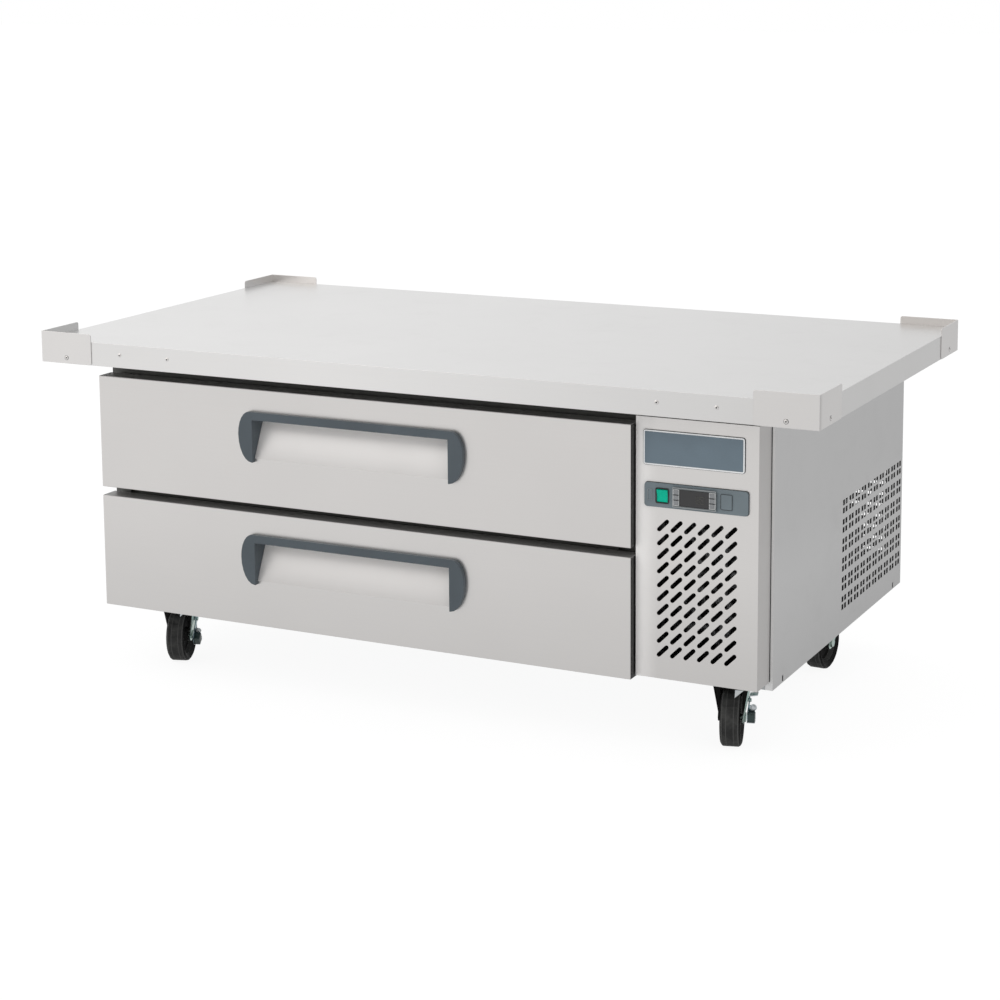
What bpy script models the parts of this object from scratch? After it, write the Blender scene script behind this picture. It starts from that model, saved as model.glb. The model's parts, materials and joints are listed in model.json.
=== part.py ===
"""Refrigerated chef base: a 60 in worktop on a two-drawer refrigerated cabinet with casters.

Metres, +Z up. The front faces -Y and the machine compartment is at +X.
The origin lies on the floor under the middle of the worktop.
"""

from math import cos, pi, radians, sin

import bmesh
import bpy
from mathutils import Matrix, Vector

# Clearances and working values
fitGap = 0.0003
weldReach = 0.00001
cutOverrun = 0.005
circleSteps = 24
smallCircleSteps = 12
hexSides = 6

# Worktop and corner guards
topWidth = 1.524
topDepth = 0.8128
deckHeight = 0.635
apronHeight = 0.0437
topSheet = 0.0015
topReturn = 0.012
guardLeg = 0.112
guardRise = 0.0145
guardSheet = 0.0012
guardCorner = 0.004

# Cabinet
sideOverhang = 0.102
frontSetback = 0.0794
backSetback = 0.0034
machineWidth = 0.225
baseSheet = 0.003
baseLipHeight = 0.0165
baseLipSheet = 0.0015
frameDepth = 0.012
railRecessWidth = 0.021
railRecessDepth = 0.008
backWall = 0.045
topInsulation = 0.058
linerSheet = 0.0008

# Drawers
drawerSideInset = 0.008
drawerBottomRise = 0.003
drawerTopDrop = 0.0664
drawerGap = 0.0161
drawerPanDepth = 0.038
drawerEdgeRadius = 0.0015
openingInset = 0.025
plugInset = 0.034
plugDepth = 0.022
gasketInset = 0.006
gasketWidth = 0.016
gasketDepth = 0.0165

# Drawer handles
handleSpan = 0.457
handleDrop = 0.0396
handleBarHeight = 0.015
handleLobeWidth = 0.0293
handleLobeHeight = 0.0935
handleLobeWaist = 0.042
handleLobeShoulder = 0.0058
handleDepth = 0.0085
handleEdgeRadius = 0.0016
pocketDepth = 0.04
pocketLip = 0.0876
pocketRoof = 0.003
cheekSheet = 0.0015

# Drawer slides and pan frames
slideInset = 0.002
slideBackRoom = 0.0204
slideLevelShare = 0.54321
slideHeight = 0.045
slideSheet = 0.0015
slideFlange = 0.011
slideStack = 0.013
frameSheet = 0.0015
frameBelowSlide = 0.026
frameAboveSlide = 0.03
panLip = 0.009
panBays = 3

# Louvred panel of the machine compartment
panelDepth = 0.0375
panelLeftLap = 0.0065
panelRightInset = 0.0135
panelBottomRise = 0.007
panelTopDrop = 0.054
panelSheet = 0.0012
panelSlant = 0.0082
mitreRise = 0.0085
louvreColumns = 6
louvreRows = 10
louvrePitchX = 0.0242
louvreWidth = 0.0073
louvreShift = 0.0008
louvreTopRoom = 0.0318
louvreBottomRoom = 0.0483
slotArcSteps = 4
# Share of the upright pitch for a louvre's length
louvreLengthShare = 1.16

# Name plate, left bare
badgeWidth = 0.179
badgeHeight = 0.059
badgeDrop = 0.0513
badgeShift = 0.005
badgeSheet = 0.0015
badgeRadius = 0.004

# Control bezel and what it carries
bezelWidth = 0.1835
bezelHeight = 0.041
bezelDrop = 0.131
bezelDepth = 0.004
bezelRadius = 0.005
rockerShift = 0.0593
rockerWidth = 0.0196
rockerHeight = 0.0245
rockerDepth = 0.007
rockerPeak = 0.0014
rockerTilt = radians(7)
switchWall = 0.0014
switchDepth = 0.022
controllerShift = 0.0014
controllerWidth = 0.077
controllerHeight = 0.0342
controllerFaceDepth = 0.0034
controllerBodyWidth = 0.0704
controllerBodyHeight = 0.0284
controllerBodyDepth = 0.05
lensWidth = 0.0508
lensHeight = 0.0272
lensDepth = 0.0014
keyWidth = 0.008
keyHeight = 0.0072
keyDepth = 0.0018
keyProud = 0.0008
keyTravel = 0.0005
keyPitch = 0.0088
keyRows = 3
plugShift = 0.0545
plugWidth = 0.02
plugHeight = 0.026
plugProud = 0.001

# Perforated side panel and rear panel
sideSheet = 0.0012
sideReturn = 0.013
ventHoleY = 0.0105
ventPairY = 0.0153
ventPitchY = 0.0366
ventColumns = 10
ventRows = 6
ventBackInset = 0.0105
# Shares of the panel's height for the holes' top and pitch, and of that pitch for a pair's step and a hole
ventTopShare = 0.48277
ventPitchShare = 0.07051
ventPairShare = 0.4134
ventHoleShare = 0.2849
slotInset = 0.05
slotRise = 0.0075
slotWidth = 0.006
slotHeight = 0.0105
rearSlotLength = 0.078
rearSlotHeight = 0.006
rearSlotPitch = 0.022
rearSlotRows = 12
rearSlotColumns = 2
rearSlotSpacing = 0.096
rearSlotRise = 0.06
rearTopDrop = 0.045

# Condensing unit
condenserInset = 0.015
condenserSetback = 0.037
condenserDepth = 0.052
condenserHeight = 0.27
condenserFoot = 0.014
condenserEndSheet = 0.002
condenserTubes = 5
tubeRadius = 0.005
bendRadius = 0.012
shroudSheet = 0.0015
shroudHole = 0.088
shroudLip = 0.028
motorRadius = 0.034
motorDepth = 0.05
motorArmWidth = 0.012
shaftRadius = 0.004
fanRadius = 0.083
fanHubRadius = 0.02
fanHubDepth = 0.03
fanSetIn = 0.003
fanBladeSheet = 0.0016
fanBlades = 5
fanPitch = radians(26)
compressorRadius = 0.068
compressorHeight = 0.158
compressorBackInset = 0.115
compressorPlateWidth = 0.18
compressorPlateDepth = 0.15
compressorPlateSheet = 0.003
grommetRadius = 0.011
grommetHeight = 0.012
terminalWidth = 0.05
terminalHeight = 0.06
terminalDepth = 0.03
seamRise = 0.075
seamProud = 0.003

# Evaporator inside the cavity
evaporatorWidth = 0.7
evaporatorHeight = 0.3
evaporatorDepth = 0.09
evaporatorSheet = 0.001
evaporatorHole = 0.066
evaporatorHoleShift = 0.22
evaporatorFanRadius = 0.06
evaporatorHubRadius = 0.015
evaporatorHubDepth = 0.022
evaporatorMotorRadius = 0.022
evaporatorMotorDepth = 0.03
evaporatorArm = 0.01
outletWidth = 0.05
outletHeight = 0.012
outletCount = 4
outletPitch = 0.075
outletRowPitch = 0.048
coilWidth = 0.34
coilHeight = 0.22
coilDepth = 0.06
coilFins = 12
coilFinSheet = 0.002

# Casters
casterHeight = 0.1252
casterInset = 0.095
casterFrontShift = -0.006
casterBackShift = 0.004
casterFrontInset = 0.0895
casterBackInset = 0.163
casterOffset = 0.033
plateSheet = 0.003
plateWidth = 0.092
plateLength = 0.1
plateRadius = 0.008
boltPitchX = 0.068
boltPitchY = 0.076
boltSlot = 0.009
raceRadius = 0.03
raceDepth = 0.0115
crownSheet = 0.003
crownWidth = 0.064
crownBack = 0.03
crownFront = 0.05
legSheet = 0.0025
legFoot = 0.042
legFootRadius = 0.0125
legTopBack = 0.024
wheelRadius = 0.05
wheelWidth = 0.035
tyreShoulder = 0.0045
rimRadius = 0.034
rimWidth = 0.027
webWidth = 0.009
hubRadius = 0.014
hubWidth = 0.0315
axleRadius = 0.005
axleGap = 0.0004
boltHeadRadius = 0.0085
boltHeadDepth = 0.003
pedalSheet = 0.002
pedalPivotBack = 0.003
pedalPivotRise = 0.03
pedalPinRadius = 0.003
pedalPinHead = 0.006
pedalWidth = 0.012
pedalLength = 0.014
pedalHeight = 0.0115
pedalReach = 0.032
pedalDrop = 0.024
pedalArmWidth = 0.014
pedalEdge = 0.001

# How far each caster stands turned on its swivel, as in the photograph
casterHeadings = {
    "front_left": radians(18),
    "front_right": radians(15),
    "rear_left": radians(6),
    "rear_right": radians(-3.5),
}

# How far each brake pedal stands pressed: the left one is down and the right one is up
pedalTurns = {"front_left": radians(30), "front_right": 0}

# Places worked out from the sizes above
topX = topWidth / 2
topY = topDepth / 2
apronBottom = deckHeight - apronHeight
cabX = topX - sideOverhang
cabFront = frontSetback - topY
cabBack = topY - backSetback
baseBottom = casterHeight + fitGap
baseTop = baseBottom + baseSheet
bodyBottom = baseTop + fitGap
cabTop = deckHeight - topSheet - fitGap
bodyRight = cabX - machineWidth
bodyFront = cabFront + frameDepth + fitGap

drawerLeft = drawerSideInset - cabX
drawerRight = bodyRight - drawerSideInset
drawerLow = baseBottom + drawerBottomRise
drawerHigh = deckHeight - drawerTopDrop
drawerHeight = (drawerHigh - drawerLow - drawerGap) / 2
drawerBottoms = {"upper": drawerLow + drawerHeight + drawerGap, "lower": drawerLow}
gasketFront = cabFront - fitGap - gasketDepth
panBack = gasketFront - fitGap
panFace = panBack - drawerPanDepth
plugBack = panBack + plugDepth
openingLeft = drawerLeft + openingInset
openingRight = drawerRight - openingInset
cavityTop = cabTop - topInsulation
cavityBack = cabBack - backWall
drawerMiddle = (drawerLeft + drawerRight) / 2

panelFace = cabFront - panelDepth
panelLeft = bodyRight - panelLeftLap
panelRight = cabX - panelRightInset
panelBottom = baseBottom + panelBottomRise
panelTop = deckHeight - panelTopDrop
panelMiddle = (panelLeft + panelRight) / 2
bezelMiddle = panelTop - bezelDrop
bezelFace = panelFace - fitGap - bezelDepth
rockerX = panelMiddle - rockerShift
controllerX = panelMiddle - controllerShift

handleInner = handleSpan / 2 - handleLobeWidth
pocketHalf = handleInner + cheekSheet + 2 * fitGap

evaporatorBack = cavityBack - fitGap
evaporatorFront = evaporatorBack - evaporatorDepth
slideFront = bodyFront + slideInset
slideBack = evaporatorFront - slideBackRoom
machineLeft = bodyRight + fitGap
machineMiddle = (bodyRight + cabX) / 2

# Scene set-up
for item in list(bpy.data.objects):
    bpy.data.objects.remove(item, do_unlink=True)

partsCollection = bpy.data.collections.new("refrigerated_chef_base")
toolsCollection = bpy.data.collections.new("cutters")
bpy.context.scene.collection.children.link(partsCollection)
bpy.context.scene.collection.children.link(toolsCollection)

# Colour, roughness and metallic value of each finish
finishes = {
    "stainless": ((0.64, 0.62, 0.60), 0.34, 1.0),
    "deck_stainless": ((0.78, 0.77, 0.76), 0.28, 1.0),
    "galvanised": ((0.52, 0.54, 0.55), 0.45, 1.0),
    "zinc": ((0.50, 0.60, 0.58), 0.30, 1.0),
    "aluminium": ((0.80, 0.80, 0.80), 0.40, 1.0),
    "liner_aluminium": ((0.72, 0.73, 0.74), 0.42, 1.0),
    "slate_plastic": ((0.09, 0.12, 0.15), 0.45, 0.0),
    "bezel_plastic": ((0.18, 0.23, 0.26), 0.50, 0.0),
    "badge_enamel": ((0.12, 0.19, 0.24), 0.35, 0.0),
    "silver_plastic": ((0.42, 0.43, 0.44), 0.40, 0.0),
    "dark_lens": ((0.02, 0.02, 0.02), 0.12, 0.0),
    "key_rubber": ((0.32, 0.35, 0.37), 0.60, 0.0),
    "switch_green": ((0.00, 0.34, 0.22), 0.30, 0.0),
    "gasket_grey": ((0.24, 0.24, 0.23), 0.70, 0.0),
    "frame_grey": ((0.20, 0.20, 0.19), 0.55, 0.0),
    "black_paint": ((0.02, 0.02, 0.02), 0.45, 0.0),
    "fan_plastic": ((0.03, 0.03, 0.03), 0.50, 0.0),
    "tyre_rubber": ((0.03, 0.03, 0.03), 0.65, 0.0),
}


def material(finish):
    if finish in bpy.data.materials:
        return bpy.data.materials[finish]
    colour, roughness, metallic = finishes[finish]
    made = bpy.data.materials.new(finish)
    made.use_nodes = True
    shader = made.node_tree.nodes["Principled BSDF"]
    shader.inputs["Base Color"].default_value = (*colour, 1.0)
    shader.inputs["Roughness"].default_value = roughness
    shader.inputs["Metallic"].default_value = metallic
    return made


# Mesh helpers: every mesh is made in world coordinates

def finishMesh(work):
    bmesh.ops.remove_doubles(work, verts=work.verts, dist=weldReach)
    bmesh.ops.recalc_face_normals(work, faces=work.faces)
    mesh = bpy.data.meshes.new("shape")
    work.to_mesh(mesh)
    work.free()
    return mesh


def boxWork(low, high):
    work = bmesh.new()
    bmesh.ops.create_cube(work, size=1)
    size = [b - a for a, b in zip(low, high)]
    middle = [(a + b) / 2 for a, b in zip(low, high)]
    bmesh.ops.scale(work, vec=size, verts=work.verts)
    bmesh.ops.translate(work, vec=middle, verts=work.verts)
    return work


def box(low, high):
    return finishMesh(boxWork(low, high))


def facesFacing(work, direction):
    work.normal_update()
    return [face for face in work.faces if face.normal.dot(Vector(direction)) > cos(pi / 6)]


axisTurns = {
    "x": Matrix.Rotation(pi / 2, 4, "Y"),
    "y": Matrix.Rotation(-pi / 2, 4, "X"),
    "z": Matrix.Identity(4),
}


def rod(radius, axis, low, high, centre, sides=circleSteps):
    """A cylinder from low to high along the axis; centre gives the other two coordinates."""
    work = bmesh.new()
    bmesh.ops.create_cone(
        work, cap_ends=True, segments=sides, radius1=radius, radius2=radius, depth=high - low,
        matrix=axisTurns[axis],
    )
    middle = (low + high) / 2
    first, second = centre
    place = {"x": (middle, first, second), "y": (first, middle, second), "z": (first, second, middle)}
    bmesh.ops.translate(work, vec=place[axis], verts=work.verts)
    return finishMesh(work)


def curveMesh(curve):
    holder = bpy.data.objects.new("outline", curve)
    toolsCollection.objects.link(holder)
    graph = bpy.context.evaluated_depsgraph_get()
    mesh = bpy.data.meshes.new_from_object(holder.evaluated_get(graph))
    bpy.data.objects.remove(holder, do_unlink=True)
    work = bmesh.new()
    work.from_mesh(mesh)
    return work


# The two letters name the outline's own axes; the third axis is the one it is extruded along
planeTurns = {
    "xy": Matrix.Identity(4),
    "xz": Matrix.Rotation(pi / 2, 4, "X"),
    "yz": Matrix.Rotation(pi / 2, 4, "Z") @ Matrix.Rotation(pi / 2, 4, "X"),
}


def plate(loops, plane, low, high):
    """A flat outline with its holes, extruded from low to high across its plane."""
    curve = bpy.data.curves.new("outline", "CURVE")
    curve.dimensions = "2D"
    curve.fill_mode = "BOTH"
    curve.extrude = (high - low) / 2
    for loop in loops:
        spline = curve.splines.new("POLY")
        spline.points.add(len(loop) - 1)
        for point, (across, up) in zip(spline.points, loop):
            point.co = (across, up, 0, 1)
        spline.use_cyclic_u = True
    work = curveMesh(curve)
    middle = (low + high) / 2
    side = -middle if plane == "xz" else middle
    matrix = planeTurns[plane] @ Matrix.Translation((0, 0, side))
    bmesh.ops.transform(work, matrix=matrix, verts=work.verts)
    return finishMesh(work)


def turned(profile, steps, matrix, closed):
    """A profile of (radius, height) pairs swept round Z and then placed by the matrix."""
    count = len(profile)
    links = [(i, i + 1) for i in range(count - 1)]
    if closed:
        links.append((count - 1, 0))
    mesh = bpy.data.meshes.new("profile")
    mesh.from_pydata([(radius, 0, height) for radius, height in profile], links, [])
    holder = bpy.data.objects.new("profile", mesh)
    toolsCollection.objects.link(holder)
    screw = holder.modifiers.new("turn", "SCREW")
    screw.steps = steps
    screw.render_steps = steps
    screw.use_merge_vertices = True
    screw.merge_threshold = weldReach
    graph = bpy.context.evaluated_depsgraph_get()
    swept = bpy.data.meshes.new_from_object(holder.evaluated_get(graph))
    bpy.data.objects.remove(holder, do_unlink=True)
    work = bmesh.new()
    work.from_mesh(swept)
    bmesh.ops.transform(work, matrix=matrix, verts=work.verts)
    return finishMesh(work)


def rectangle(left, bottom, right, top):
    return [(left, bottom), (right, bottom), (right, top), (left, top)]


def centredRectangle(middle, width, height):
    return rectangle(
        middle[0] - width / 2, middle[1] - height / 2, middle[0] + width / 2, middle[1] + height / 2
    )


def arc(centre, radiusX, radiusY, start, end, steps):
    """Points along part of an ellipse, both ends included."""
    points = []
    for step in range(steps + 1):
        angle = start + (end - start) * step / steps
        points.append((centre[0] + radiusX * cos(angle), centre[1] + radiusY * sin(angle)))
    return points


def roundedRectangle(middle, width, height, radius, steps=3):
    points = []
    corners = ((1, 1), (-1, 1), (-1, -1), (1, -1))
    for quarter, (sideX, sideY) in enumerate(corners):
        centre = (
            middle[0] + sideX * (width / 2 - radius),
            middle[1] + sideY * (height / 2 - radius),
        )
        start = quarter * pi / 2
        points += arc(centre, radius, radius, start, start + pi / 2, steps)
    return points


def circle(centre, radius, steps=circleSteps):
    return arc(centre, radius, radius, 0, 2 * pi, steps)[:-1]


def capsule(middle, length, width, angle):
    radius = width / 2
    reach = length / 2 - radius
    points = []
    for side in (1, -1):
        centre = (middle[0] + side * reach * cos(angle), middle[1] + side * reach * sin(angle))
        start = angle - pi / 2 if side == 1 else angle + pi / 2
        points += arc(centre, radius, radius, start, start + pi, slotArcSteps)
    return points


# Object helpers

def addPart(name, mesh, finish, frame=None):
    """Links a part whose origin is at the frame; the mesh comes in world coordinates."""
    frame = frame or Matrix.Identity(4)
    mesh.transform(frame.inverted())
    mesh.name = name
    mesh.materials.clear()
    mesh.materials.append(material(finish))
    part = bpy.data.objects.new(name, mesh)
    part.matrix_world = frame
    partsCollection.objects.link(part)
    return part


def boolean(part, mesh, operation):
    tool = bpy.data.objects.new(part.name + "_tool", mesh)
    tool.hide_render = True
    tool.display_type = "WIRE"
    toolsCollection.objects.link(tool)
    modifier = part.modifiers.new(operation.lower(), "BOOLEAN")
    modifier.operation = operation
    modifier.solver = "EXACT"
    modifier.object = tool


def cut(part, mesh):
    boolean(part, mesh, "DIFFERENCE")


def join(part, mesh):
    boolean(part, mesh, "UNION")


def solidify(part, thickness):
    modifier = part.modifiers.new("sheet", "SOLIDIFY")
    modifier.thickness = thickness
    modifier.offset = -1
    modifier.use_even_offset = True


def bevel(part, width, segments):
    modifier = part.modifiers.new("edges", "BEVEL")
    modifier.width = width
    modifier.segments = segments
    modifier.limit_method = "ANGLE"
    modifier.angle_limit = pi / 4


def smooth(part):
    part.data.shade_smooth()
    part.data.set_sharp_from_angle(angle=pi / 6)


# Worktop

def makeWorktop():
    deckX = topX - guardSheet - fitGap
    deckY = topY - guardSheet - fitGap
    roomX = deckX - topSheet
    roomY = deckY - topSheet
    mouthX = deckX - topReturn
    worktop = addPart(
        "worktop", box((-deckX, -deckY, apronBottom), (deckX, deckY, deckHeight)), "deck_stainless",
    )
    cut(worktop, box((-roomX, -roomY, apronBottom + topSheet), (roomX, roomY, deckHeight - topSheet)))
    # The return runs along the front and the sides; the back stays open for the cabinet
    cut(worktop, box(
        (-mouthX, topReturn - deckY, apronBottom - cutOverrun),
        (mouthX, roomY, apronBottom + cutOverrun),
    ))


def roundFreeEnds(mesh):
    """Rounds the corners of a guard's two free ends, at the short edges across its sheet."""
    work = bmesh.new()
    work.from_mesh(mesh)
    bmesh.ops.dissolve_limit(work, angle_limit=radians(1), verts=work.verts, edges=work.edges)
    ends = [
        edge for edge in work.edges
        if edge.calc_length() < 2 * guardSheet
        and abs(edge.verts[0].co.z - edge.verts[1].co.z) < weldReach
    ]
    bmesh.ops.bevel(work, geom=ends, offset=guardCorner, segments=3, profile=1 / 2, affect="EDGES")
    return finishMesh(work)


def makeGuards():
    inner = guardSheet
    for depthName, sideY in (("front", -1), ("rear", 1)):
        for widthName, sideX in (("left", -1), ("right", 1)):
            outline = [
                (topX, topY),
                (topX - guardLeg, topY),
                (topX - guardLeg, topY - inner),
                (topX - inner, topY - inner),
                (topX - inner, topY - guardLeg),
                (topX, topY - guardLeg),
            ]
            loop = [(sideX * x, sideY * y) for x, y in outline]
            mesh = roundFreeEnds(plate([loop], "xy", apronBottom, deckHeight + guardRise))
            addPart("guard_" + depthName + "_" + widthName, mesh, "stainless")


# Cabinet

def drawerOpening(bottom):
    """Left, bottom, right and top of the frame's opening behind one drawer front."""
    return (openingLeft, bottom + openingInset, openingRight, bottom + drawerHeight - openingInset)


def makeFrontFrame():
    loops = [rectangle(-cabX, bodyBottom, bodyRight, cabTop)]
    for bottom in drawerBottoms.values():
        loops.append(rectangle(*drawerOpening(bottom)))
    frame = addPart("front_frame", plate(loops, "xz", cabFront, cabFront + frameDepth), "frame_grey")
    # The rail between the drawers steps back at both ends
    railLow = drawerBottoms["lower"] + drawerHeight - gasketInset
    railHigh = drawerBottoms["upper"] + gasketInset
    for edge, inner in ((openingLeft, 1), (openingRight, -1)):
        ends = sorted((edge, edge + inner * railRecessWidth))
        cut(frame, box(
            (ends[0], cabFront - cutOverrun, railLow),
            (ends[1], cabFront + railRecessDepth, railHigh),
        ))


def makeBody():
    low = (-cabX, bodyFront, bodyBottom)
    body = addPart("cabinet_body", box(low, (bodyRight, cabBack, cabTop)), "stainless")
    room = linerSheet + fitGap
    cut(body, box(
        (openingLeft - room, bodyFront - cutOverrun, linerBottom() - room),
        (openingRight + room, cavityBack + room, cavityTop + room),
    ))


def linerBottom():
    return drawerLow + openingInset


def makeLiner():
    low = (openingLeft - linerSheet, bodyFront, linerBottom() - linerSheet)
    high = (openingRight + linerSheet, cavityBack + linerSheet, cavityTop + linerSheet)
    work = boxWork(low, high)
    bmesh.ops.delete(work, geom=facesFacing(work, (0, -1, 0)), context="FACES")
    liner = addPart("cabinet_liner", finishMesh(work), "liner_aluminium")
    solidify(liner, linerSheet)


def makeBaseTray():
    # The corners under the side panel's returns are notched
    notchX = cabX - sideReturn - fitGap
    edgeX = cabX - sideSheet - fitGap
    notch = sideSheet + fitGap
    outline = [
        (-cabX, cabFront),
        (notchX, cabFront),
        (notchX, cabFront + notch),
        (edgeX, cabFront + notch),
        (edgeX, cabBack - notch),
        (notchX, cabBack - notch),
        (notchX, cabBack),
        (-cabX, cabBack),
    ]
    tray = addPart("base_tray", plate([outline], "xy", baseBottom, baseTop), "galvanised")
    join(tray, box(
        (machineLeft, cabFront, baseTop - baseLipSheet),
        (notchX, cabFront + baseLipSheet, baseTop + baseLipHeight),
    ))


# Drawers

def pocketLevels(top):
    """Heights of the finger pocket's lower lip and of its roof, from the drawer front's top."""
    barTop = top - handleDrop
    return barTop - pocketLip, barTop - pocketRoof


def makeDrawerFront(name, bottom):
    top = bottom + drawerHeight
    front = addPart(
        name + "_drawer_front",
        box((drawerLeft, panFace, bottom), (drawerRight, panBack, top)), "stainless",
    )
    bevel(front, drawerEdgeRadius, 2)
    join(front, box(
        (drawerLeft + plugInset, panBack - plugInset / 2, bottom + plugInset),
        (drawerRight - plugInset, plugBack, top - plugInset),
    ))
    # Finger pocket: deep under the handle's bar and flush at its lower lip
    lip, roof = pocketLevels(top)
    slope = pocketDepth / (roof - lip)
    profile = [
        (panFace - cutOverrun, lip - cutOverrun / slope),
        (panFace + pocketDepth, roof),
        (panFace - cutOverrun, roof),
    ]
    cut(front, plate([profile], "yz", drawerMiddle - pocketHalf, drawerMiddle + pocketHalf))


def makeGasket(name, bottom):
    middle = (drawerMiddle, bottom + drawerHeight / 2)
    width = drawerRight - drawerLeft - 2 * gasketInset
    height = drawerHeight - 2 * gasketInset
    outer = roundedRectangle(middle, width, height, gasketInset)
    inner = centredRectangle(middle, width - 2 * gasketWidth, height - 2 * gasketWidth)
    mesh = plate([outer, inner], "xz", gasketFront, gasketFront + gasketDepth)
    addPart(name + "_drawer_gasket", mesh, "gasket_grey")


def makeHandle(name, bottom):
    top = bottom + drawerHeight - handleDrop
    barLow = top - handleBarHeight
    lobeLow = top - handleLobeHeight
    waist = top - handleLobeWaist
    inner = handleInner
    shoulder = inner + handleLobeShoulder
    outer = handleSpan / 2
    tip = inner + handleEdgeRadius
    lobe = arc((shoulder, waist), outer - shoulder, top - waist, pi / 2, 0, 6)
    lobe += arc((tip, waist), outer - tip, waist - lobeLow, 0, -pi / 2, 6)[1:]
    half = [*lobe, (inner, lobeLow), (inner, barLow)]
    loop = [(drawerMiddle + across, up) for across, up in half]
    loop += [(drawerMiddle - across, up) for across, up in reversed(half)]
    back = panFace - fitGap
    handle = addPart(
        name + "_drawer_handle", plate([loop], "xz", back - handleDepth, back), "slate_plastic",
    )
    bevel(handle, handleEdgeRadius, 2)
    # Cheeks behind the lobes close the two ends of the pocket
    lip, roof = pocketLevels(bottom + drawerHeight)
    slope = pocketDepth / (roof - lip)
    root = back - handleDepth / 2
    ceiling = roof - fitGap
    cheek = [
        (root, lip + fitGap / slope),
        (back, lip + fitGap / slope),
        (back - fitGap + (ceiling - lip) * slope, ceiling),
        (root, ceiling),
    ]
    for side in (-1, 1):
        ends = sorted((side * (inner + fitGap), side * (inner + fitGap + cheekSheet)))
        join(handle, plate([cheek], "yz", drawerMiddle + ends[0], drawerMiddle + ends[1]))
    smooth(handle)


def slideHeightOf(bottom):
    openingHeight = drawerHeight - 2 * openingInset
    return bottom + openingInset + openingHeight * slideLevelShare


def channel(wall, side, depth, height, middle):
    """A C section in XZ: its web stands at the wall and its flanges reach to the depth."""
    web = wall + side * slideSheet
    far = wall + side * depth
    low = middle - height / 2
    high = middle + height / 2
    return [
        (wall, low), (far, low), (far, low + slideSheet), (web, low + slideSheet),
        (web, high - slideSheet), (far, high - slideSheet), (far, high), (wall, high),
    ]


def makeSlides(name, bottom):
    level = slideHeightOf(bottom)
    midHeight = slideHeight - 2 * (slideSheet + fitGap)
    midStart = slideSheet + fitGap
    for sideName, edge, side in (("left", openingLeft, 1), ("right", openingRight, -1)):
        wall = edge + side * fitGap
        fixed = channel(wall, side, slideFlange, slideHeight, level)
        addPart(
            name + "_slide_fixed_" + sideName,
            plate([fixed], "xz", slideFront, slideBack), "zinc",
        )
        middle = channel(wall + side * midStart, side, slideFlange - midStart, midHeight, level)
        addPart(
            name + "_slide_middle_" + sideName,
            plate([middle], "xz", slideFront, slideBack), "zinc",
        )


def makePanFrame(name, bottom):
    level = slideHeightOf(bottom)
    left = openingLeft + fitGap + slideStack
    right = openingRight - fitGap - slideStack
    front = plugBack + fitGap
    low = level - frameBelowSlide
    high = level + frameAboveSlide
    frame = addPart(name + "_pan_frame", box((left, front, low), (right, slideBack, high)), "stainless")
    # The frame's own side rails are the slides' inner members
    railHeight = slideHeight - 4 * (slideSheet + fitGap)
    railStart = 2 * (slideSheet + fitGap)
    railDepth = slideStack + frameSheet / 2
    for edge, side in ((openingLeft, 1), (openingRight, -1)):
        wall = edge + side * fitGap
        ends = sorted((wall + side * railStart, wall + side * railDepth))
        join(frame, box(
            (ends[0], slideFront, level - railHeight / 2),
            (ends[1], slideBack - frameSheet, level + railHeight / 2),
        ))
    bayWidth = (right - left - frameSheet) / panBays
    bays = []
    mouths = []
    for bay in range(panBays):
        bayLeft = left + frameSheet + bay * bayWidth
        bayRight = bayLeft + bayWidth - frameSheet
        bays.append(rectangle(bayLeft, front + frameSheet, bayRight, slideBack - frameSheet))
        mouths.append(rectangle(
            bayLeft + panLip, front + frameSheet + panLip,
            bayRight - panLip, slideBack - frameSheet - panLip,
        ))
    cut(frame, plate(bays, "xy", low - cutOverrun, high - frameSheet))
    cut(frame, plate(mouths, "xy", high - 2 * frameSheet, high + cutOverrun))


# Machine compartment, front

def switchOutline(extra):
    width = rockerWidth + 2 * (fitGap + switchWall + extra)
    height = rockerHeight + 2 * (fitGap + switchWall + extra)
    return centredRectangle((rockerX, bezelMiddle), width, height)


def controllerOutline(extra):
    width = controllerBodyWidth + 2 * extra
    height = controllerBodyHeight + 2 * extra
    return centredRectangle((controllerX, bezelMiddle), width, height)


def makeMachinePanel():
    back = cabFront - fitGap
    work = boxWork((panelLeft, panelFace, panelBottom), (panelRight, back, panelTop))
    for vert in work.verts:
        if vert.co.x > panelMiddle and vert.co.y > (panelFace + back) / 2:
            vert.co.x += panelSlant
    bmesh.ops.delete(work, geom=facesFacing(work, (0, 1, 0)), context="FACES")
    panel = addPart("machine_front_panel", finishMesh(work), "stainless")
    solidify(panel, panelSheet)
    slots = []
    firstX = panelMiddle + louvreShift - louvrePitchX * (louvreColumns - 1) / 2
    firstZ = bezelMiddle - bezelHeight / 2 - louvreTopRoom
    pitchZ = (firstZ - panelBottom - louvreBottomRoom) / (louvreRows - 1)
    for column in range(louvreColumns):
        for row in range(louvreRows):
            middle = (firstX + column * louvrePitchX, firstZ - row * pitchZ)
            slots.append(capsule(middle, pitchZ * louvreLengthShare, louvreWidth, pi / 4))
    holes = slots + [switchOutline(fitGap), controllerOutline(fitGap)]
    cut(panel, plate(holes, "xz", panelFace - cutOverrun, panelFace + panelSheet + cutOverrun))
    # The right return is mitred at its foot, from the front bend to the back edge
    mitreStart = panelFace + panelSheet
    slope = mitreRise / (back - mitreStart)
    wedge = [
        (mitreStart, panelBottom - cutOverrun),
        (back + cutOverrun, panelBottom - cutOverrun),
        (back + cutOverrun, panelBottom + mitreRise + cutOverrun * slope),
        (mitreStart, panelBottom),
    ]
    cut(panel, plate([wedge], "yz", panelRight - panelSheet * 2, panelRight + panelSlant + cutOverrun))


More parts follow.
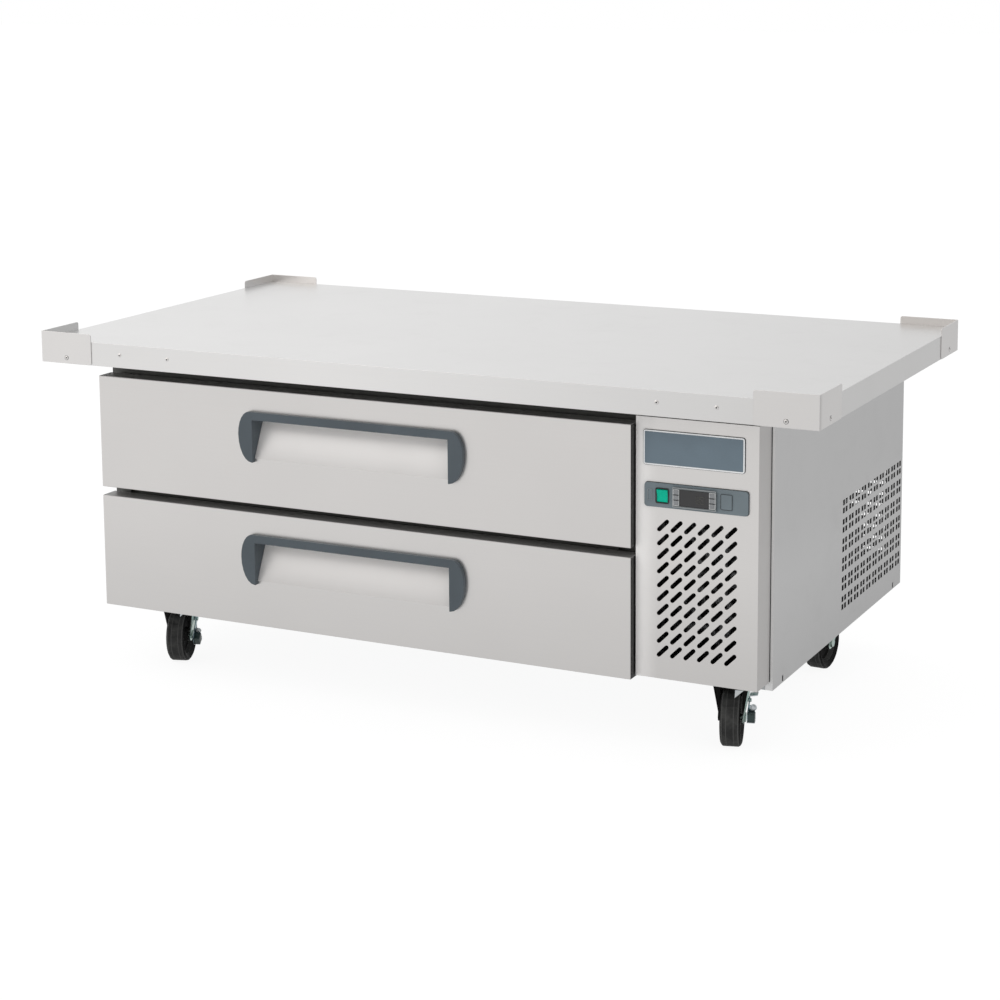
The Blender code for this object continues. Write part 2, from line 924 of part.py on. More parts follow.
def makeBadge():
    middle = (panelMiddle - badgeShift, panelTop - badgeDrop)
    outline = roundedRectangle(middle, badgeWidth, badgeHeight, badgeRadius)
    back = panelFace - fitGap
    addPart("name_plate", plate([outline], "xz", back - badgeSheet, back), "badge_enamel")


def makeBezel():
    middle = (panelMiddle, bezelMiddle)
    back = panelFace - fitGap
    outline = roundedRectangle(middle, bezelWidth, bezelHeight, bezelRadius)
    bezel = addPart(
        "control_bezel",
        plate([outline, controllerOutline(fitGap)], "xz", bezelFace, back), "bezel_plastic",
    )
    join(bezel, plate([switchOutline(0)], "xz", bezelFace + bezelDepth / 2, panelFace + switchDepth))
    well = centredRectangle(
        (rockerX, bezelMiddle), rockerWidth + 2 * fitGap, rockerHeight + 2 * fitGap
    )
    cut(bezel, plate([well], "xz", bezelFace - cutOverrun, panelFace + switchDepth - switchWall))
    # Blank plug over the spare cut-out at the right
    plug = centredRectangle((panelMiddle + plugShift, bezelMiddle), plugWidth, plugHeight)
    join(bezel, plate([plug], "xz", bezelFace - plugProud, bezelFace + bezelDepth / 2))


def rockerPivot():
    return Vector((rockerX, bezelFace + rockerDepth / 2, bezelMiddle))


def makeRocker():
    pivot = rockerPivot()
    half = rockerHeight / 2
    faceY = pivot.y - rockerDepth / 2
    backY = pivot.y + rockerDepth / 2
    inset = rockerDepth / 4
    profile = [
        (faceY - rockerPeak, pivot.z - half + inset),
        (faceY, pivot.z),
        (faceY - rockerPeak, pivot.z + half - inset),
        (backY, pivot.z + half - inset),
        (backY, pivot.z - half + inset),
    ]
    mesh = plate([profile], "yz", rockerX - rockerWidth / 2, rockerX + rockerWidth / 2)
    turn = Matrix.Translation(pivot) @ Matrix.Rotation(rockerTilt, 4, "X") @ Matrix.Translation(-pivot)
    mesh.transform(turn)
    addPart("rocker_switch", mesh, "switch_green", Matrix.Translation(pivot))


def keyPlaces():
    columnX = (controllerWidth + lensWidth) / 4
    places = {}
    for sideName, side in (("left", -1), ("right", 1)):
        for row in range(keyRows):
            level = bezelMiddle + (1 - row) * keyPitch
            places["controller_key_" + sideName + "_" + str(row + 1)] = (controllerX + side * columnX, level)
    return places


def makeController():
    face = bezelFace - fitGap - controllerFaceDepth
    back = bezelFace - fitGap
    outline = roundedRectangle((controllerX, bezelMiddle), controllerWidth, controllerHeight, badgeRadius)
    body = addPart("temperature_controller", plate([outline], "xz", face, back), "silver_plastic")
    bodyStart = back - controllerFaceDepth / 2
    join(body, plate([controllerOutline(0)], "xz", bodyStart, panelFace + controllerBodyDepth))
    window = centredRectangle((controllerX, bezelMiddle), lensWidth + 2 * fitGap, lensHeight + 2 * fitGap)
    pockets = []
    for place in keyPlaces().values():
        pockets.append(centredRectangle(place, keyWidth + 2 * fitGap, keyHeight + 2 * fitGap))
    cut(body, plate([window], "xz", face - cutOverrun, face + lensDepth + fitGap))
    pocketDepthHere = keyDepth - keyProud + keyTravel + fitGap
    cut(body, plate(pockets, "xz", face - cutOverrun, face + pocketDepthHere))
    lens = centredRectangle((controllerX, bezelMiddle), lensWidth, lensHeight)
    addPart("controller_lens", plate([lens], "xz", face, face + lensDepth), "dark_lens")
    for name, place in keyPlaces().items():
        key = centredRectangle(place, keyWidth, keyHeight)
        start = face - keyProud
        frame = Matrix.Translation((place[0], start, place[1]))
        addPart(name, plate([key], "xz", start, start + keyDepth), "key_rubber", frame)


# Machine compartment, side and rear

def makeSidePanel():
    inner = cabX - sideSheet
    returnEdge = cabX - sideReturn
    outline = [
        (cabX, cabFront), (cabX, cabBack),
        (returnEdge, cabBack), (returnEdge, cabBack - sideSheet),
        (inner, cabBack - sideSheet), (inner, cabFront + sideSheet),
        (returnEdge, cabFront + sideSheet), (returnEdge, cabFront),
    ]
    panel = addPart("side_panel", plate([outline], "xy", baseBottom, cabTop), "stainless")
    holes = []
    patternLength = (ventColumns - 1) * ventPitchY + ventPairY + ventHoleY
    firstY = cabBack - ventBackInset - patternLength
    firstZ = baseBottom + (cabTop - baseBottom) * ventTopShare
    pitchZ = (cabTop - baseBottom) * ventPitchShare
    for column in range(ventColumns):
        for row in range(ventRows):
            for pairY in (0, ventPairY):
                for pairZ in (0, pitchZ * ventPairShare):
                    left = firstY + column * ventPitchY + pairY
                    high = firstZ - row * pitchZ - pairZ
                    holes.append(rectangle(left, high - pitchZ * ventHoleShare, left + ventHoleY, high))
    for place in (cabFront + slotInset, cabBack - slotInset):
        holes.append(centredRectangle((place, baseBottom + slotRise), slotWidth, slotHeight))
    cut(panel, plate(holes, "yz", inner - cutOverrun, cabX + cutOverrun))


def makeRearPanel():
    right = cabX - sideReturn - fitGap
    bottom = bodyBottom
    top = deckHeight - rearTopDrop
    middle = (machineLeft + right) / 2
    loops = [rectangle(machineLeft, bottom, right, top)]
    for column in range(rearSlotColumns):
        across = middle + (column - (rearSlotColumns - 1) / 2) * rearSlotSpacing
        for row in range(rearSlotRows):
            level = bottom + rearSlotRise + row * rearSlotPitch
            loops.append(centredRectangle((across, level), rearSlotLength, rearSlotHeight))
    addPart("rear_panel", plate(loops, "xz", cabBack - sideSheet, cabBack), "galvanised")


# Condensing unit

condenserLeft = bodyRight + condenserInset
condenserRight = cabX - condenserInset
condenserFront = cabFront + condenserSetback
condenserBack = condenserFront + condenserDepth
condenserLow = bodyBottom + condenserFoot
condenserHigh = condenserLow + condenserHeight
fanLevel = (condenserLow + condenserHigh) / 2


def makeCondenser():
    endLeft = condenserLeft + condenserEndSheet
    endRight = condenserRight - condenserEndSheet - bendRadius - tubeRadius
    condenser = addPart(
        "condenser",
        box((condenserLeft, condenserFront, bodyBottom), (endLeft, condenserBack, condenserHigh)),
        "aluminium",
    )
    join(condenser, box(
        (endLeft - condenserEndSheet / 2, condenserFront, condenserLow),
        (endRight + condenserEndSheet / 2, condenserBack, condenserHigh),
    ))
    join(condenser, box(
        (endRight, condenserFront, bodyBottom),
        (endRight + condenserEndSheet, condenserBack, condenserHigh),
    ))
    # Return bends of the tubes at the right-hand end plate
    pitch = condenserHeight / condenserTubes
    middleY = (condenserFront + condenserBack) / 2
    for tube in range(condenserTubes):
        level = condenserLow + pitch * (tube + 1 / 2)
        bend = [
            (endRight + (reach if reach > 0 else 0), middleY, level + rise)
            for reach, rise in arc((0, 0), bendRadius, bendRadius, -pi / 2, pi / 2, 6)
        ]
        start = (endRight, middleY, level - bendRadius)
        end = (endRight, middleY, level + bendRadius)
        join(condenser, pipe([start, *bend[1:-1], end], tubeRadius))


def pipe(points, radius):
    curve = bpy.data.curves.new("pipe", "CURVE")
    curve.dimensions = "3D"
    curve.bevel_depth = radius
    curve.bevel_resolution = 1
    curve.use_fill_caps = True
    spline = curve.splines.new("POLY")
    spline.points.add(len(points) - 1)
    for point, place in zip(spline.points, points):
        point.co = (*place, 1)
    return finishMesh(curveMesh(curve))


shroudFront = condenserBack + fitGap
motorFront = shroudFront + shroudSheet + fanSetIn + fanHubDepth


def bentStrap(middle, reach, sheet, front, back):
    """Plan outline of a strap whose two ends stand forward from a straight back."""
    outer = reach + sheet
    half = [(outer, front), (reach, front), (reach, back)]
    right = [(middle + across, y) for across, y in half]
    left = [(middle - across, y) for across, y in reversed(half)]
    return [*right, *left, (middle - outer, back + sheet), (middle + outer, back + sheet)]


def makeShroud():
    centre = (machineMiddle, fanLevel)
    low = (condenserLeft, shroudFront, bodyBottom)
    high = (condenserRight, shroudFront + shroudSheet, condenserHigh)
    shroud = addPart("fan_shroud", box(low, high), "black_paint")
    lipStart = shroudFront + shroudSheet / 2
    lipEnd = lipStart + shroudLip
    join(shroud, rod(shroudHole + shroudSheet, "y", lipStart, lipEnd, centre))
    cut(shroud, rod(shroudHole, "y", shroudFront - cutOverrun, lipEnd + cutOverrun, centre))
    # A bent strap carries the motor behind the fan
    strapBack = motorFront + shroudSheet
    half = motorArmWidth / 2
    reach = shroudHole + shroudSheet / 2
    strap = bentStrap(machineMiddle, reach, shroudSheet, lipStart, motorFront)
    join(shroud, plate([strap], "xy", fanLevel - half, fanLevel + half))
    motorBack = motorFront + motorDepth
    join(shroud, rod(motorRadius, "y", motorFront + shroudSheet / 2, motorBack, centre))
    shaftEnd = motorFront - fanHubDepth / 2
    join(shroud, rod(shaftRadius, "y", shaftEnd, motorFront + shroudSheet, centre, smallCircleSteps))


# Shares of the hub radius, the fan radius, the half width at the waist and the tip arc
bladeShares = {"root": 0.8, "waist": 0.72, "spread": 0.6, "tip": 0.42}


def makeFan(name, centre, radius, hubRadius, hubFront, hubBack, shaft):
    middle = Vector((centre[0], (hubFront + hubBack) / 2, centre[1]))
    fan = addPart(
        name, rod(hubRadius, "y", hubFront, hubBack, centre), "fan_plastic", Matrix.Translation(middle),
    )
    root = hubRadius * bladeShares["root"]
    waist = radius * bladeShares["waist"]
    narrow = hubRadius / 2
    wide = radius * sin(pi / fanBlades) * bladeShares["spread"]
    sweep = pi / fanBlades * bladeShares["tip"]
    tip = arc((0, 0), radius, radius, pi / 2 - sweep, pi / 2 + sweep, 4)
    outline = [(-narrow, root), (narrow, root), (wide, waist), *tip, (-wide, waist)]
    for blade in range(fanBlades):
        mesh = plate([outline], "xz", -fanBladeSheet / 2, fanBladeSheet / 2)
        mesh.transform(
            Matrix.Translation(middle)
            @ Matrix.Rotation(2 * pi * blade / fanBlades, 4, "Y")
            @ Matrix.Rotation(fanPitch, 4, "Z")
        )
        join(fan, mesh)
    bore = rod(shaft + axleGap, "y", middle.y - fitGap, hubBack + cutOverrun, centre, smallCircleSteps)
    cut(fan, bore)


def makeCondenserFan():
    hubFront = motorFront - fitGap - fanHubDepth
    makeFan(
        "condenser_fan", (machineMiddle, fanLevel), fanRadius, fanHubRadius,
        hubFront, motorFront - fitGap, shaftRadius,
    )


def makeCompressor():
    middleX = machineMiddle
    middleY = cabBack - compressorBackInset
    footLow = bodyBottom + grommetHeight
    plateTop = footLow + compressorPlateSheet
    outline = roundedRectangle(
        (middleX, middleY), compressorPlateWidth, compressorPlateDepth, grommetRadius,
    )
    compressor = addPart("compressor", plate([outline], "xy", footLow, plateTop), "black_paint")
    radius = compressorRadius
    seam = seamRise
    height = compressorHeight
    crown = radius / 2
    shell = [
        (0, 0), (radius - crown / 2, 0), (radius, crown / 2), (radius, seam),
        (radius + seamProud, seam), (radius + seamProud, seam + seamProud), (radius, seam + seamProud),
        (radius, height - crown),
        *arc((0, height - crown), radius, crown, 0, pi / 2, 4)[1:-1],
        (0, height),
    ]
    place = Matrix.Translation((middleX, middleY, plateTop - compressorPlateSheet / 2))
    join(compressor, turned(shell, circleSteps, place, False))
    for sideX in (-1, 1):
        for sideY in (-1, 1):
            centre = (
                middleX + sideX * (compressorPlateWidth / 2 - grommetRadius),
                middleY + sideY * (compressorPlateDepth / 2 - grommetRadius),
            )
            grommetTop = plateTop + grommetHeight / 2
            join(compressor, rod(grommetRadius, "z", bodyBottom, grommetTop, centre, smallCircleSteps))
    # Terminal cover on the side that faces the fan
    join(compressor, box(
        (middleX - terminalWidth / 2, middleY - radius - terminalDepth, plateTop + grommetHeight),
        (middleX + terminalWidth / 2, middleY - radius / 2, plateTop + grommetHeight + terminalHeight),
    ))


# Evaporator

evaporatorMiddleZ = (linerBottom() + cavityTop) / 2
evaporatorFanX = drawerMiddle + evaporatorHoleShift


def makeEvaporatorHousing():
    low = (
        drawerMiddle - evaporatorWidth / 2, evaporatorFront, evaporatorMiddleZ - evaporatorHeight / 2,
    )
    high = (
        drawerMiddle + evaporatorWidth / 2, evaporatorBack, evaporatorMiddleZ + evaporatorHeight / 2,
    )
    work = boxWork(low, high)
    bmesh.ops.delete(work, geom=facesFacing(work, (0, 1, 0)), context="FACES")
    housing = addPart("evaporator_housing", finishMesh(work), "liner_aluminium")
    solidify(housing, evaporatorSheet)
    holes = [circle((evaporatorFanX, evaporatorMiddleZ), evaporatorHole)]
    for outlet in range(outletCount):
        across = drawerMiddle - evaporatorHoleShift + (outlet - (outletCount - 1) / 2) * outletPitch
        for level in (-1, 0, 1):
            up = evaporatorMiddleZ + level * outletRowPitch
            holes.append(centredRectangle((across, up), outletWidth, outletHeight))
    frontBack = evaporatorFront + evaporatorSheet + cutOverrun
    cut(housing, plate(holes, "xz", evaporatorFront - cutOverrun, frontBack))
    # A strap across the hole carries the fan motor
    strapFront = evaporatorFront + evaporatorSheet / 2
    armHalf = evaporatorArm / 2
    reach = evaporatorHole + evaporatorArm
    hubBack = evaporatorHubFront() + evaporatorHubDepth + fitGap
    strap = bentStrap(evaporatorFanX, reach, evaporatorSheet, strapFront, hubBack)
    join(housing, plate([strap], "xy", evaporatorMiddleZ - armHalf, evaporatorMiddleZ + armHalf))
    motorEnd = hubBack + evaporatorMotorDepth
    centre = (evaporatorFanX, evaporatorMiddleZ)
    join(housing, rod(evaporatorMotorRadius, "y", hubBack + evaporatorSheet / 2, motorEnd, centre))
    shaftEnd = hubBack - evaporatorHubDepth / 2
    join(housing, rod(shaftRadius, "y", shaftEnd, hubBack + evaporatorSheet / 2, centre, smallCircleSteps))


def evaporatorHubFront():
    return evaporatorFront + evaporatorSheet + evaporatorHubDepth


def makeEvaporatorFan():
    hubFront = evaporatorHubFront()
    makeFan(
        "evaporator_fan", (evaporatorFanX, evaporatorMiddleZ), evaporatorFanRadius, evaporatorHubRadius,
        hubFront, hubFront + evaporatorHubDepth, shaftRadius,
    )


def makeEvaporatorCoil():
    middleX = drawerMiddle - evaporatorHoleShift / 2
    back = evaporatorBack
    low = evaporatorMiddleZ - coilHeight / 2
    high = evaporatorMiddleZ + coilHeight / 2
    left = middleX - coilWidth / 2
    coil = addPart(
        "evaporator_coil",
        box((left, back - coilDepth / 2, low), (left + coilWidth, back, high)), "aluminium",
    )
    pitch = (coilWidth - coilFinSheet) / (coilFins - 1)
    for fin in range(coilFins):
        start = left + fin * pitch
        join(coil, box(
            (start, back - coilDepth, low), (start + coilFinSheet, back - coilDepth / 4, high),
        ))


# Casters

plateLow = casterHeight - plateSheet
raceTop = plateLow - fitGap
crownTop = raceTop - raceDepth
crownLow = crownTop - crownSheet
legSlope = (crownWidth / 2 - fitGap - legFoot / 2) / (crownTop - wheelRadius)


def casterPlaces():
    """The swivel axis of each caster in plan."""
    places = {}
    rows = (
        ("front", casterFrontShift, cabFront + casterFrontInset),
        ("rear", casterBackShift, cabBack - casterBackInset),
    )
    for depthName, shift, y in rows:
        for sideName, side in (("left", -1), ("right", 1)):
            places[depthName + "_" + sideName] = (shift + side * (cabX - casterInset), y)
    return places


def makeCasterPlate(name, place):
    outline = roundedRectangle(place, plateWidth, plateLength, plateRadius)
    loops = [outline]
    for sideX in (-1, 1):
        for sideY in (-1, 1):
            centre = (place[0] + sideX * boltPitchX / 2, place[1] + sideY * boltPitchY / 2)
            loops.append(circle(centre, boltSlot / 2, smallCircleSteps))
    addPart(name + "_caster_plate", plate(loops, "xy", plateLow, casterHeight), "zinc")


def legMesh(side, world):
    """One leg: a tapering strap with a round foot, leaning in towards the axle."""
    wheelY = -casterOffset
    foot = arc((wheelY, wheelRadius), legFootRadius, legFootRadius, -pi, 0, 6)
    outline = [
        *foot,
        (legTopBack, crownLow + crownSheet / 2),
        (fitGap - crownFront, crownLow + crownSheet / 2),
    ]
    outer = legFoot / 2
    mesh = plate([outline], "yz", outer - legSheet, outer)
    lean = Matrix.Identity(4)
    lean[0][2] = legSlope
    lean[0][3] = -legSlope * wheelRadius
    mirror = Matrix.Scale(side, 4, (1, 0, 0))
    mesh.transform(world @ mirror @ lean)
    if side < 0:
        mesh.flip_normals()
    return mesh


def placed(mesh, world):
    mesh.transform(world)
    return mesh


def makeFork(name, world, hasPedal):
    crown = (
        (-crownWidth / 2, -crownFront, crownLow),
        (crownWidth / 2, crownBack, crownTop),
    )
    mesh = placed(box(*crown), world)
    fork = addPart(name + "_caster_fork", mesh, "zinc", world)
    join(fork, placed(rod(raceRadius, "z", crownTop - crownSheet / 2, raceTop, (0, 0)), world))
    for side in (1, -1):
        join(fork, legMesh(side, world))
    axleEnd = legFoot / 2 + boltHeadDepth
    centre = (-casterOffset, wheelRadius)
    axle = rod(axleRadius, "x", -legFoot / 2, legFoot / 2, centre, smallCircleSteps)
    join(fork, placed(axle, world))
    for side in (1, -1):
        ends = sorted((side * (legFoot / 2 - legSheet / 2), side * axleEnd))
        join(fork, placed(rod(boltHeadRadius, "x", *ends, centre, hexSides), world))
    if hasPedal:
        pinStart = legFoot / 2 - legSheet / 2 + legSlope * pedalPivotRise
        pinEnd = pedalInner() + pedalSheet + fitGap + pedalPinHead / 3
        pivot = pedalPivot()
        join(fork, placed(rod(pedalPinRadius, "x", pinStart, pinEnd, pivot, smallCircleSteps), world))


def wheelMesh(world):
    half = wheelWidth / 2
    shoulder = tyreShoulder
    profile = [
        (axleRadius + axleGap, hubWidth / 2 - legSheet / 2),
        (hubRadius, hubWidth / 2 - legSheet / 2),
        (hubRadius, webWidth / 2),
        (rimRadius, webWidth / 2),
        (rimRadius + shoulder / 2, rimWidth / 2),
        (wheelRadius - shoulder, half),
        (wheelRadius - shoulder / 4, half - shoulder / 2),
        (wheelRadius, half - shoulder),
    ]
    # The facets touch the true circle, and one of them lies flat on the floor
    swell = 1 / cos(pi / circleSteps)
    ring = [(radius * swell, across) for radius, across in profile]
    ring += [(radius, -across) for radius, across in reversed(ring)]
    axle = Matrix.Translation((0, -casterOffset, wheelRadius)) @ axisTurns["x"]
    axle = axle @ Matrix.Rotation(pi / circleSteps, 4, "Z")
    return turned(ring, circleSteps, world @ axle, True)


def makeWheel(name, world):
    frame = world @ Matrix.Translation((0, -casterOffset, wheelRadius))
    wheel = addPart(name + "_caster_wheel", wheelMesh(world), "tyre_rubber", frame)
    smooth(wheel)


def pedalPivot():
    return (pedalPivotBack - casterOffset, wheelRadius + pedalPivotRise)


def pedalInner():
    """The inner face of the pedal, clear of the leaning leg where the arm is highest."""
    lean = legSlope * (pedalPivotRise + pedalArmWidth / 2)
    return legFoot / 2 + lean + 2 * fitGap


def makePedal(name, world):
    pivotY, pivotZ = pedalPivot()
    half = pedalArmWidth / 2
    blockY = pivotY - pedalReach
    blockZ = pivotZ - pedalDrop
    arm = arc((pivotY, pivotZ), half, half, 0, pi, 6)
    arm += [
        (blockY - pedalLength / 2, blockZ + pedalHeight),
        (blockY - pedalLength / 2, blockZ),
        (blockY + pedalLength / 2, blockZ),
        (blockY + pedalLength / 2, blockZ + pedalHeight / 2),
    ]
    hole = circle((pivotY, pivotZ), pedalPinRadius + fitGap, smallCircleSteps)
    inner = pedalInner()
    pivot = Matrix.Translation((0, pivotY, pivotZ))
    pressed = world @ pivot @ Matrix.Rotation(pedalTurns[name], 4, "X") @ pivot.inverted()
    mesh = placed(plate([arm, hole], "yz", inner, inner + pedalSheet), pressed)
    frame = world @ Matrix.Translation((inner, pivotY, pivotZ))
    pedal = addPart(name + "_brake_pedal", mesh, "black_paint", frame)
    edge = pedalLength / 2 + pedalEdge
    join(pedal, placed(box(
        (inner + pedalSheet / 2, blockY - edge, blockZ - pedalEdge),
        (inner + pedalSheet / 2 + pedalWidth, blockY + edge, blockZ + pedalHeight),
    ), pressed))


def makeCasters():
    for name, place in casterPlaces().items():
        world = Matrix.Translation((*place, 0)) @ Matrix.Rotation(casterHeadings[name], 4, "Z")
        hasPedal = name.startswith("front")
        makeCasterPlate(name, place)
        makeFork(name, world, hasPedal)
        makeWheel(name, world)
        if hasPedal:
            makePedal(name, world)


makeWorktop()
makeGuards()
makeFrontFrame()
makeBody()
makeLiner()
makeBaseTray()
for drawerName, drawerBottom in drawerBottoms.items():
    makeDrawerFront(drawerName, drawerBottom)
    makeGasket(drawerName, drawerBottom)
    makeHandle(drawerName, drawerBottom)
    makeSlides(drawerName, drawerBottom)
    makePanFrame(drawerName, drawerBottom)
makeMachinePanel()
makeBadge()
makeBezel()
makeRocker()
makeController()
makeSidePanel()
makeRearPanel()
makeCondenser()
makeShroud()
makeCondenserFan()
makeCompressor()
makeEvaporatorHousing()
makeEvaporatorFan()
makeEvaporatorCoil()
makeCasters()
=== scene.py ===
# Refrigerated chef base: materials, small fittings, floor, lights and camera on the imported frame.
# Metres, +Z up; the drawers face -Y and the machine compartment is at +X.
import json
from math import atan2, cos, pi, radians, sin

import bmesh
import bpy
from mathutils import Matrix, Vector


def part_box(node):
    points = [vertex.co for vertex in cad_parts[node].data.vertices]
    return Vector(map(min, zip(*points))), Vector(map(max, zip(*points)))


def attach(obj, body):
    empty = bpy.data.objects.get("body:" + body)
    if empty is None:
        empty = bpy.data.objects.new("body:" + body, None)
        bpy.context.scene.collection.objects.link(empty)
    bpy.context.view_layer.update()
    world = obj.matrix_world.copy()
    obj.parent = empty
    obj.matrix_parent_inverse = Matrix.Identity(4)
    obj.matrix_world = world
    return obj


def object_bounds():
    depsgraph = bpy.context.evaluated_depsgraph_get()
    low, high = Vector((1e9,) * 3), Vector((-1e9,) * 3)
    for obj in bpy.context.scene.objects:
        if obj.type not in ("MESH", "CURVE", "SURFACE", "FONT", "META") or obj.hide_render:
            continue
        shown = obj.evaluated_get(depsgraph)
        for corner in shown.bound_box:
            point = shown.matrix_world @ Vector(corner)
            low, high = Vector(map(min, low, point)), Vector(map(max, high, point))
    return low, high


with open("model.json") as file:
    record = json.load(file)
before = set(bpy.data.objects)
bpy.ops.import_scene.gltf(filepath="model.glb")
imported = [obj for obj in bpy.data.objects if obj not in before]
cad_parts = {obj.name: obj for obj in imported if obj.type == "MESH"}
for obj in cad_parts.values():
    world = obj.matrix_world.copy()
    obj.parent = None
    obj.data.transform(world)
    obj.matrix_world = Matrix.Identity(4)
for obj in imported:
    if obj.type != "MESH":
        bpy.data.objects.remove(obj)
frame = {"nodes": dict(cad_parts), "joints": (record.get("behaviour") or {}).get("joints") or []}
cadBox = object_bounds()
nodes = frame["nodes"]
print("frame loaded with", len(nodes), "nodes")


def middle(low, high):
    return [(a + b) / 2 for a, b in zip(low, high)]


# Shader helpers


def emptyTree(owner):
    owner.use_nodes = True
    owner.node_tree.nodes.clear()
    return owner.node_tree


def newMaterial(name):
    material = bpy.data.materials.new(name)
    tree = emptyTree(material)
    output = tree.nodes.new("ShaderNodeOutputMaterial")
    shader = tree.nodes.new("ShaderNodeBsdfPrincipled")
    tree.links.new(shader.outputs["BSDF"], output.inputs["Surface"])
    return material, tree, shader


def stretched(tree, stretch, offset=(0, 0, 0)):
    coords = tree.nodes.new("ShaderNodeTexCoord")
    mapping = tree.nodes.new("ShaderNodeMapping")
    mapping.inputs["Scale"].default_value = stretch
    mapping.inputs["Location"].default_value = offset
    tree.links.new(coords.outputs["Object"], mapping.inputs["Vector"])
    return mapping.outputs["Vector"]


def noise(tree, stretch, detail=3, roughness=0.5, offset=(0, 0, 0), distortion=0):
    texture = tree.nodes.new("ShaderNodeTexNoise")
    texture.inputs["Scale"].default_value = 1
    texture.inputs["Detail"].default_value = detail
    texture.inputs["Roughness"].default_value = roughness
    texture.inputs["Distortion"].default_value = distortion
    tree.links.new(stretched(tree, stretch, offset), texture.inputs["Vector"])
    return texture.outputs["Fac"]


def ranged(tree, value, fromLow, fromHigh, toLow, toHigh):
    node = tree.nodes.new("ShaderNodeMapRange")
    node.inputs["From Min"].default_value = fromLow
    node.inputs["From Max"].default_value = fromHigh
    node.inputs["To Min"].default_value = toLow
    node.inputs["To Max"].default_value = toHigh
    tree.links.new(value, node.inputs["Value"])
    return node.outputs["Result"]


def combined(tree, operation, first, second):
    node = tree.nodes.new("ShaderNodeMath")
    node.operation = operation
    for socket, value in zip(node.inputs, (first, second)):
        if isinstance(value, (int, float)):
            socket.default_value = value
        else:
            tree.links.new(value, socket)
    return node.outputs["Value"]


def blended(tree, factor, first, second):
    node = tree.nodes.new("ShaderNodeMix")
    node.data_type = "RGBA"
    tree.links.new(factor, node.inputs["Factor"])
    for socket, value in ((node.inputs["A"], first), (node.inputs["B"], second)):
        if isinstance(value, tuple):
            socket.default_value = (*value, 1)
        else:
            tree.links.new(value, socket)
    return node.outputs["Result"]


def bumped(tree, shader, heights, edgeRadius=0):
    normal = None
    if edgeRadius:
        edge = tree.nodes.new("ShaderNodeBevel")
        edge.samples = 4
        edge.inputs["Radius"].default_value = edgeRadius
        normal = edge.outputs["Normal"]
    for height, distance in heights:
        node = tree.nodes.new("ShaderNodeBump")
        node.inputs["Distance"].default_value = distance
        tree.links.new(height, node.inputs["Height"])
        if normal:
            tree.links.new(normal, node.inputs["Normal"])
        normal = node.outputs["Normal"]
    tree.links.new(normal, shader.inputs["Normal"])


def tinted(colour, amount):
    return tuple(channel * amount for channel in colour)


def scaled(tree, colour, factor):
    node = tree.nodes.new("ShaderNodeVectorMath")
    node.operation = "SCALE"
    tree.links.new(colour, node.inputs[0])
    tree.links.new(factor, node.inputs["Scale"])
    return node.outputs["Vector"]


def along(tree, source, axis):
    # One axis of the surface's direction ("Normal") or of its place ("Object")
    coords = tree.nodes.new("ShaderNodeTexCoord")
    parts = tree.nodes.new("ShaderNodeSeparateXYZ")
    tree.links.new(coords.outputs[source], parts.inputs["Vector"])
    return parts.outputs[axis]


def alongAxle(tree, source, axle):
    # How far the surface's direction or place lies along a wheel's axle
    coords = tree.nodes.new("ShaderNodeTexCoord")
    product = tree.nodes.new("ShaderNodeVectorMath")
    product.operation = "DOT_PRODUCT"
    product.inputs[1].default_value = axle
    tree.links.new(coords.outputs[source], product.inputs[0])
    return product.outputs["Value"]


def ramp(tree, source, axis, start, end, low, high):
    return ranged(tree, along(tree, source, axis), start, end, low, high)


def shadingPainted(tree, colour, shadingTones, drift, faceShadingDrifts):
    # Paints light and shade: scales a colour on faces that look one way, then slowly across the sheet or
    # across one of its faces
    parts = [ramp(tree, "Normal", axis, start, end, 1, tone) for axis, start, end, tone in shadingTones]
    if drift:
        parts.append(ramp(tree, "Object", *drift))
    for face, start, end, axis, low, high, toneLow, toneHigh in faceShadingDrifts:
        mask = ramp(tree, "Normal", face, start, end, 0, 1)
        change = ramp(tree, "Object", axis, low, high, toneLow - 1, toneHigh - 1)
        parts.append(combined(tree, "ADD", combined(tree, "MULTIPLY", mask, change), 1))
    if not parts:
        return colour
    factor = parts[0]
    for part in parts[1:]:
        factor = combined(tree, "MULTIPLY", factor, part)
    return scaled(tree, colour, factor)


def painted(tree, shader, colour, roughness, metallic=0):
    tree.links.new(colour, shader.inputs["Base Color"])
    tree.links.new(roughness, shader.inputs["Roughness"])
    shader.inputs["Metallic"].default_value = metallic


def rayKinds(tree):
    # Rays that show a thing as the picture sees it, and all the kinds of ray
    kinds = tree.nodes.new("ShaderNodeLightPath").outputs
    return combined(tree, "MAXIMUM", kinds["Is Camera Ray"], kinds["Is Transmission Ray"]), kinds


# Materials


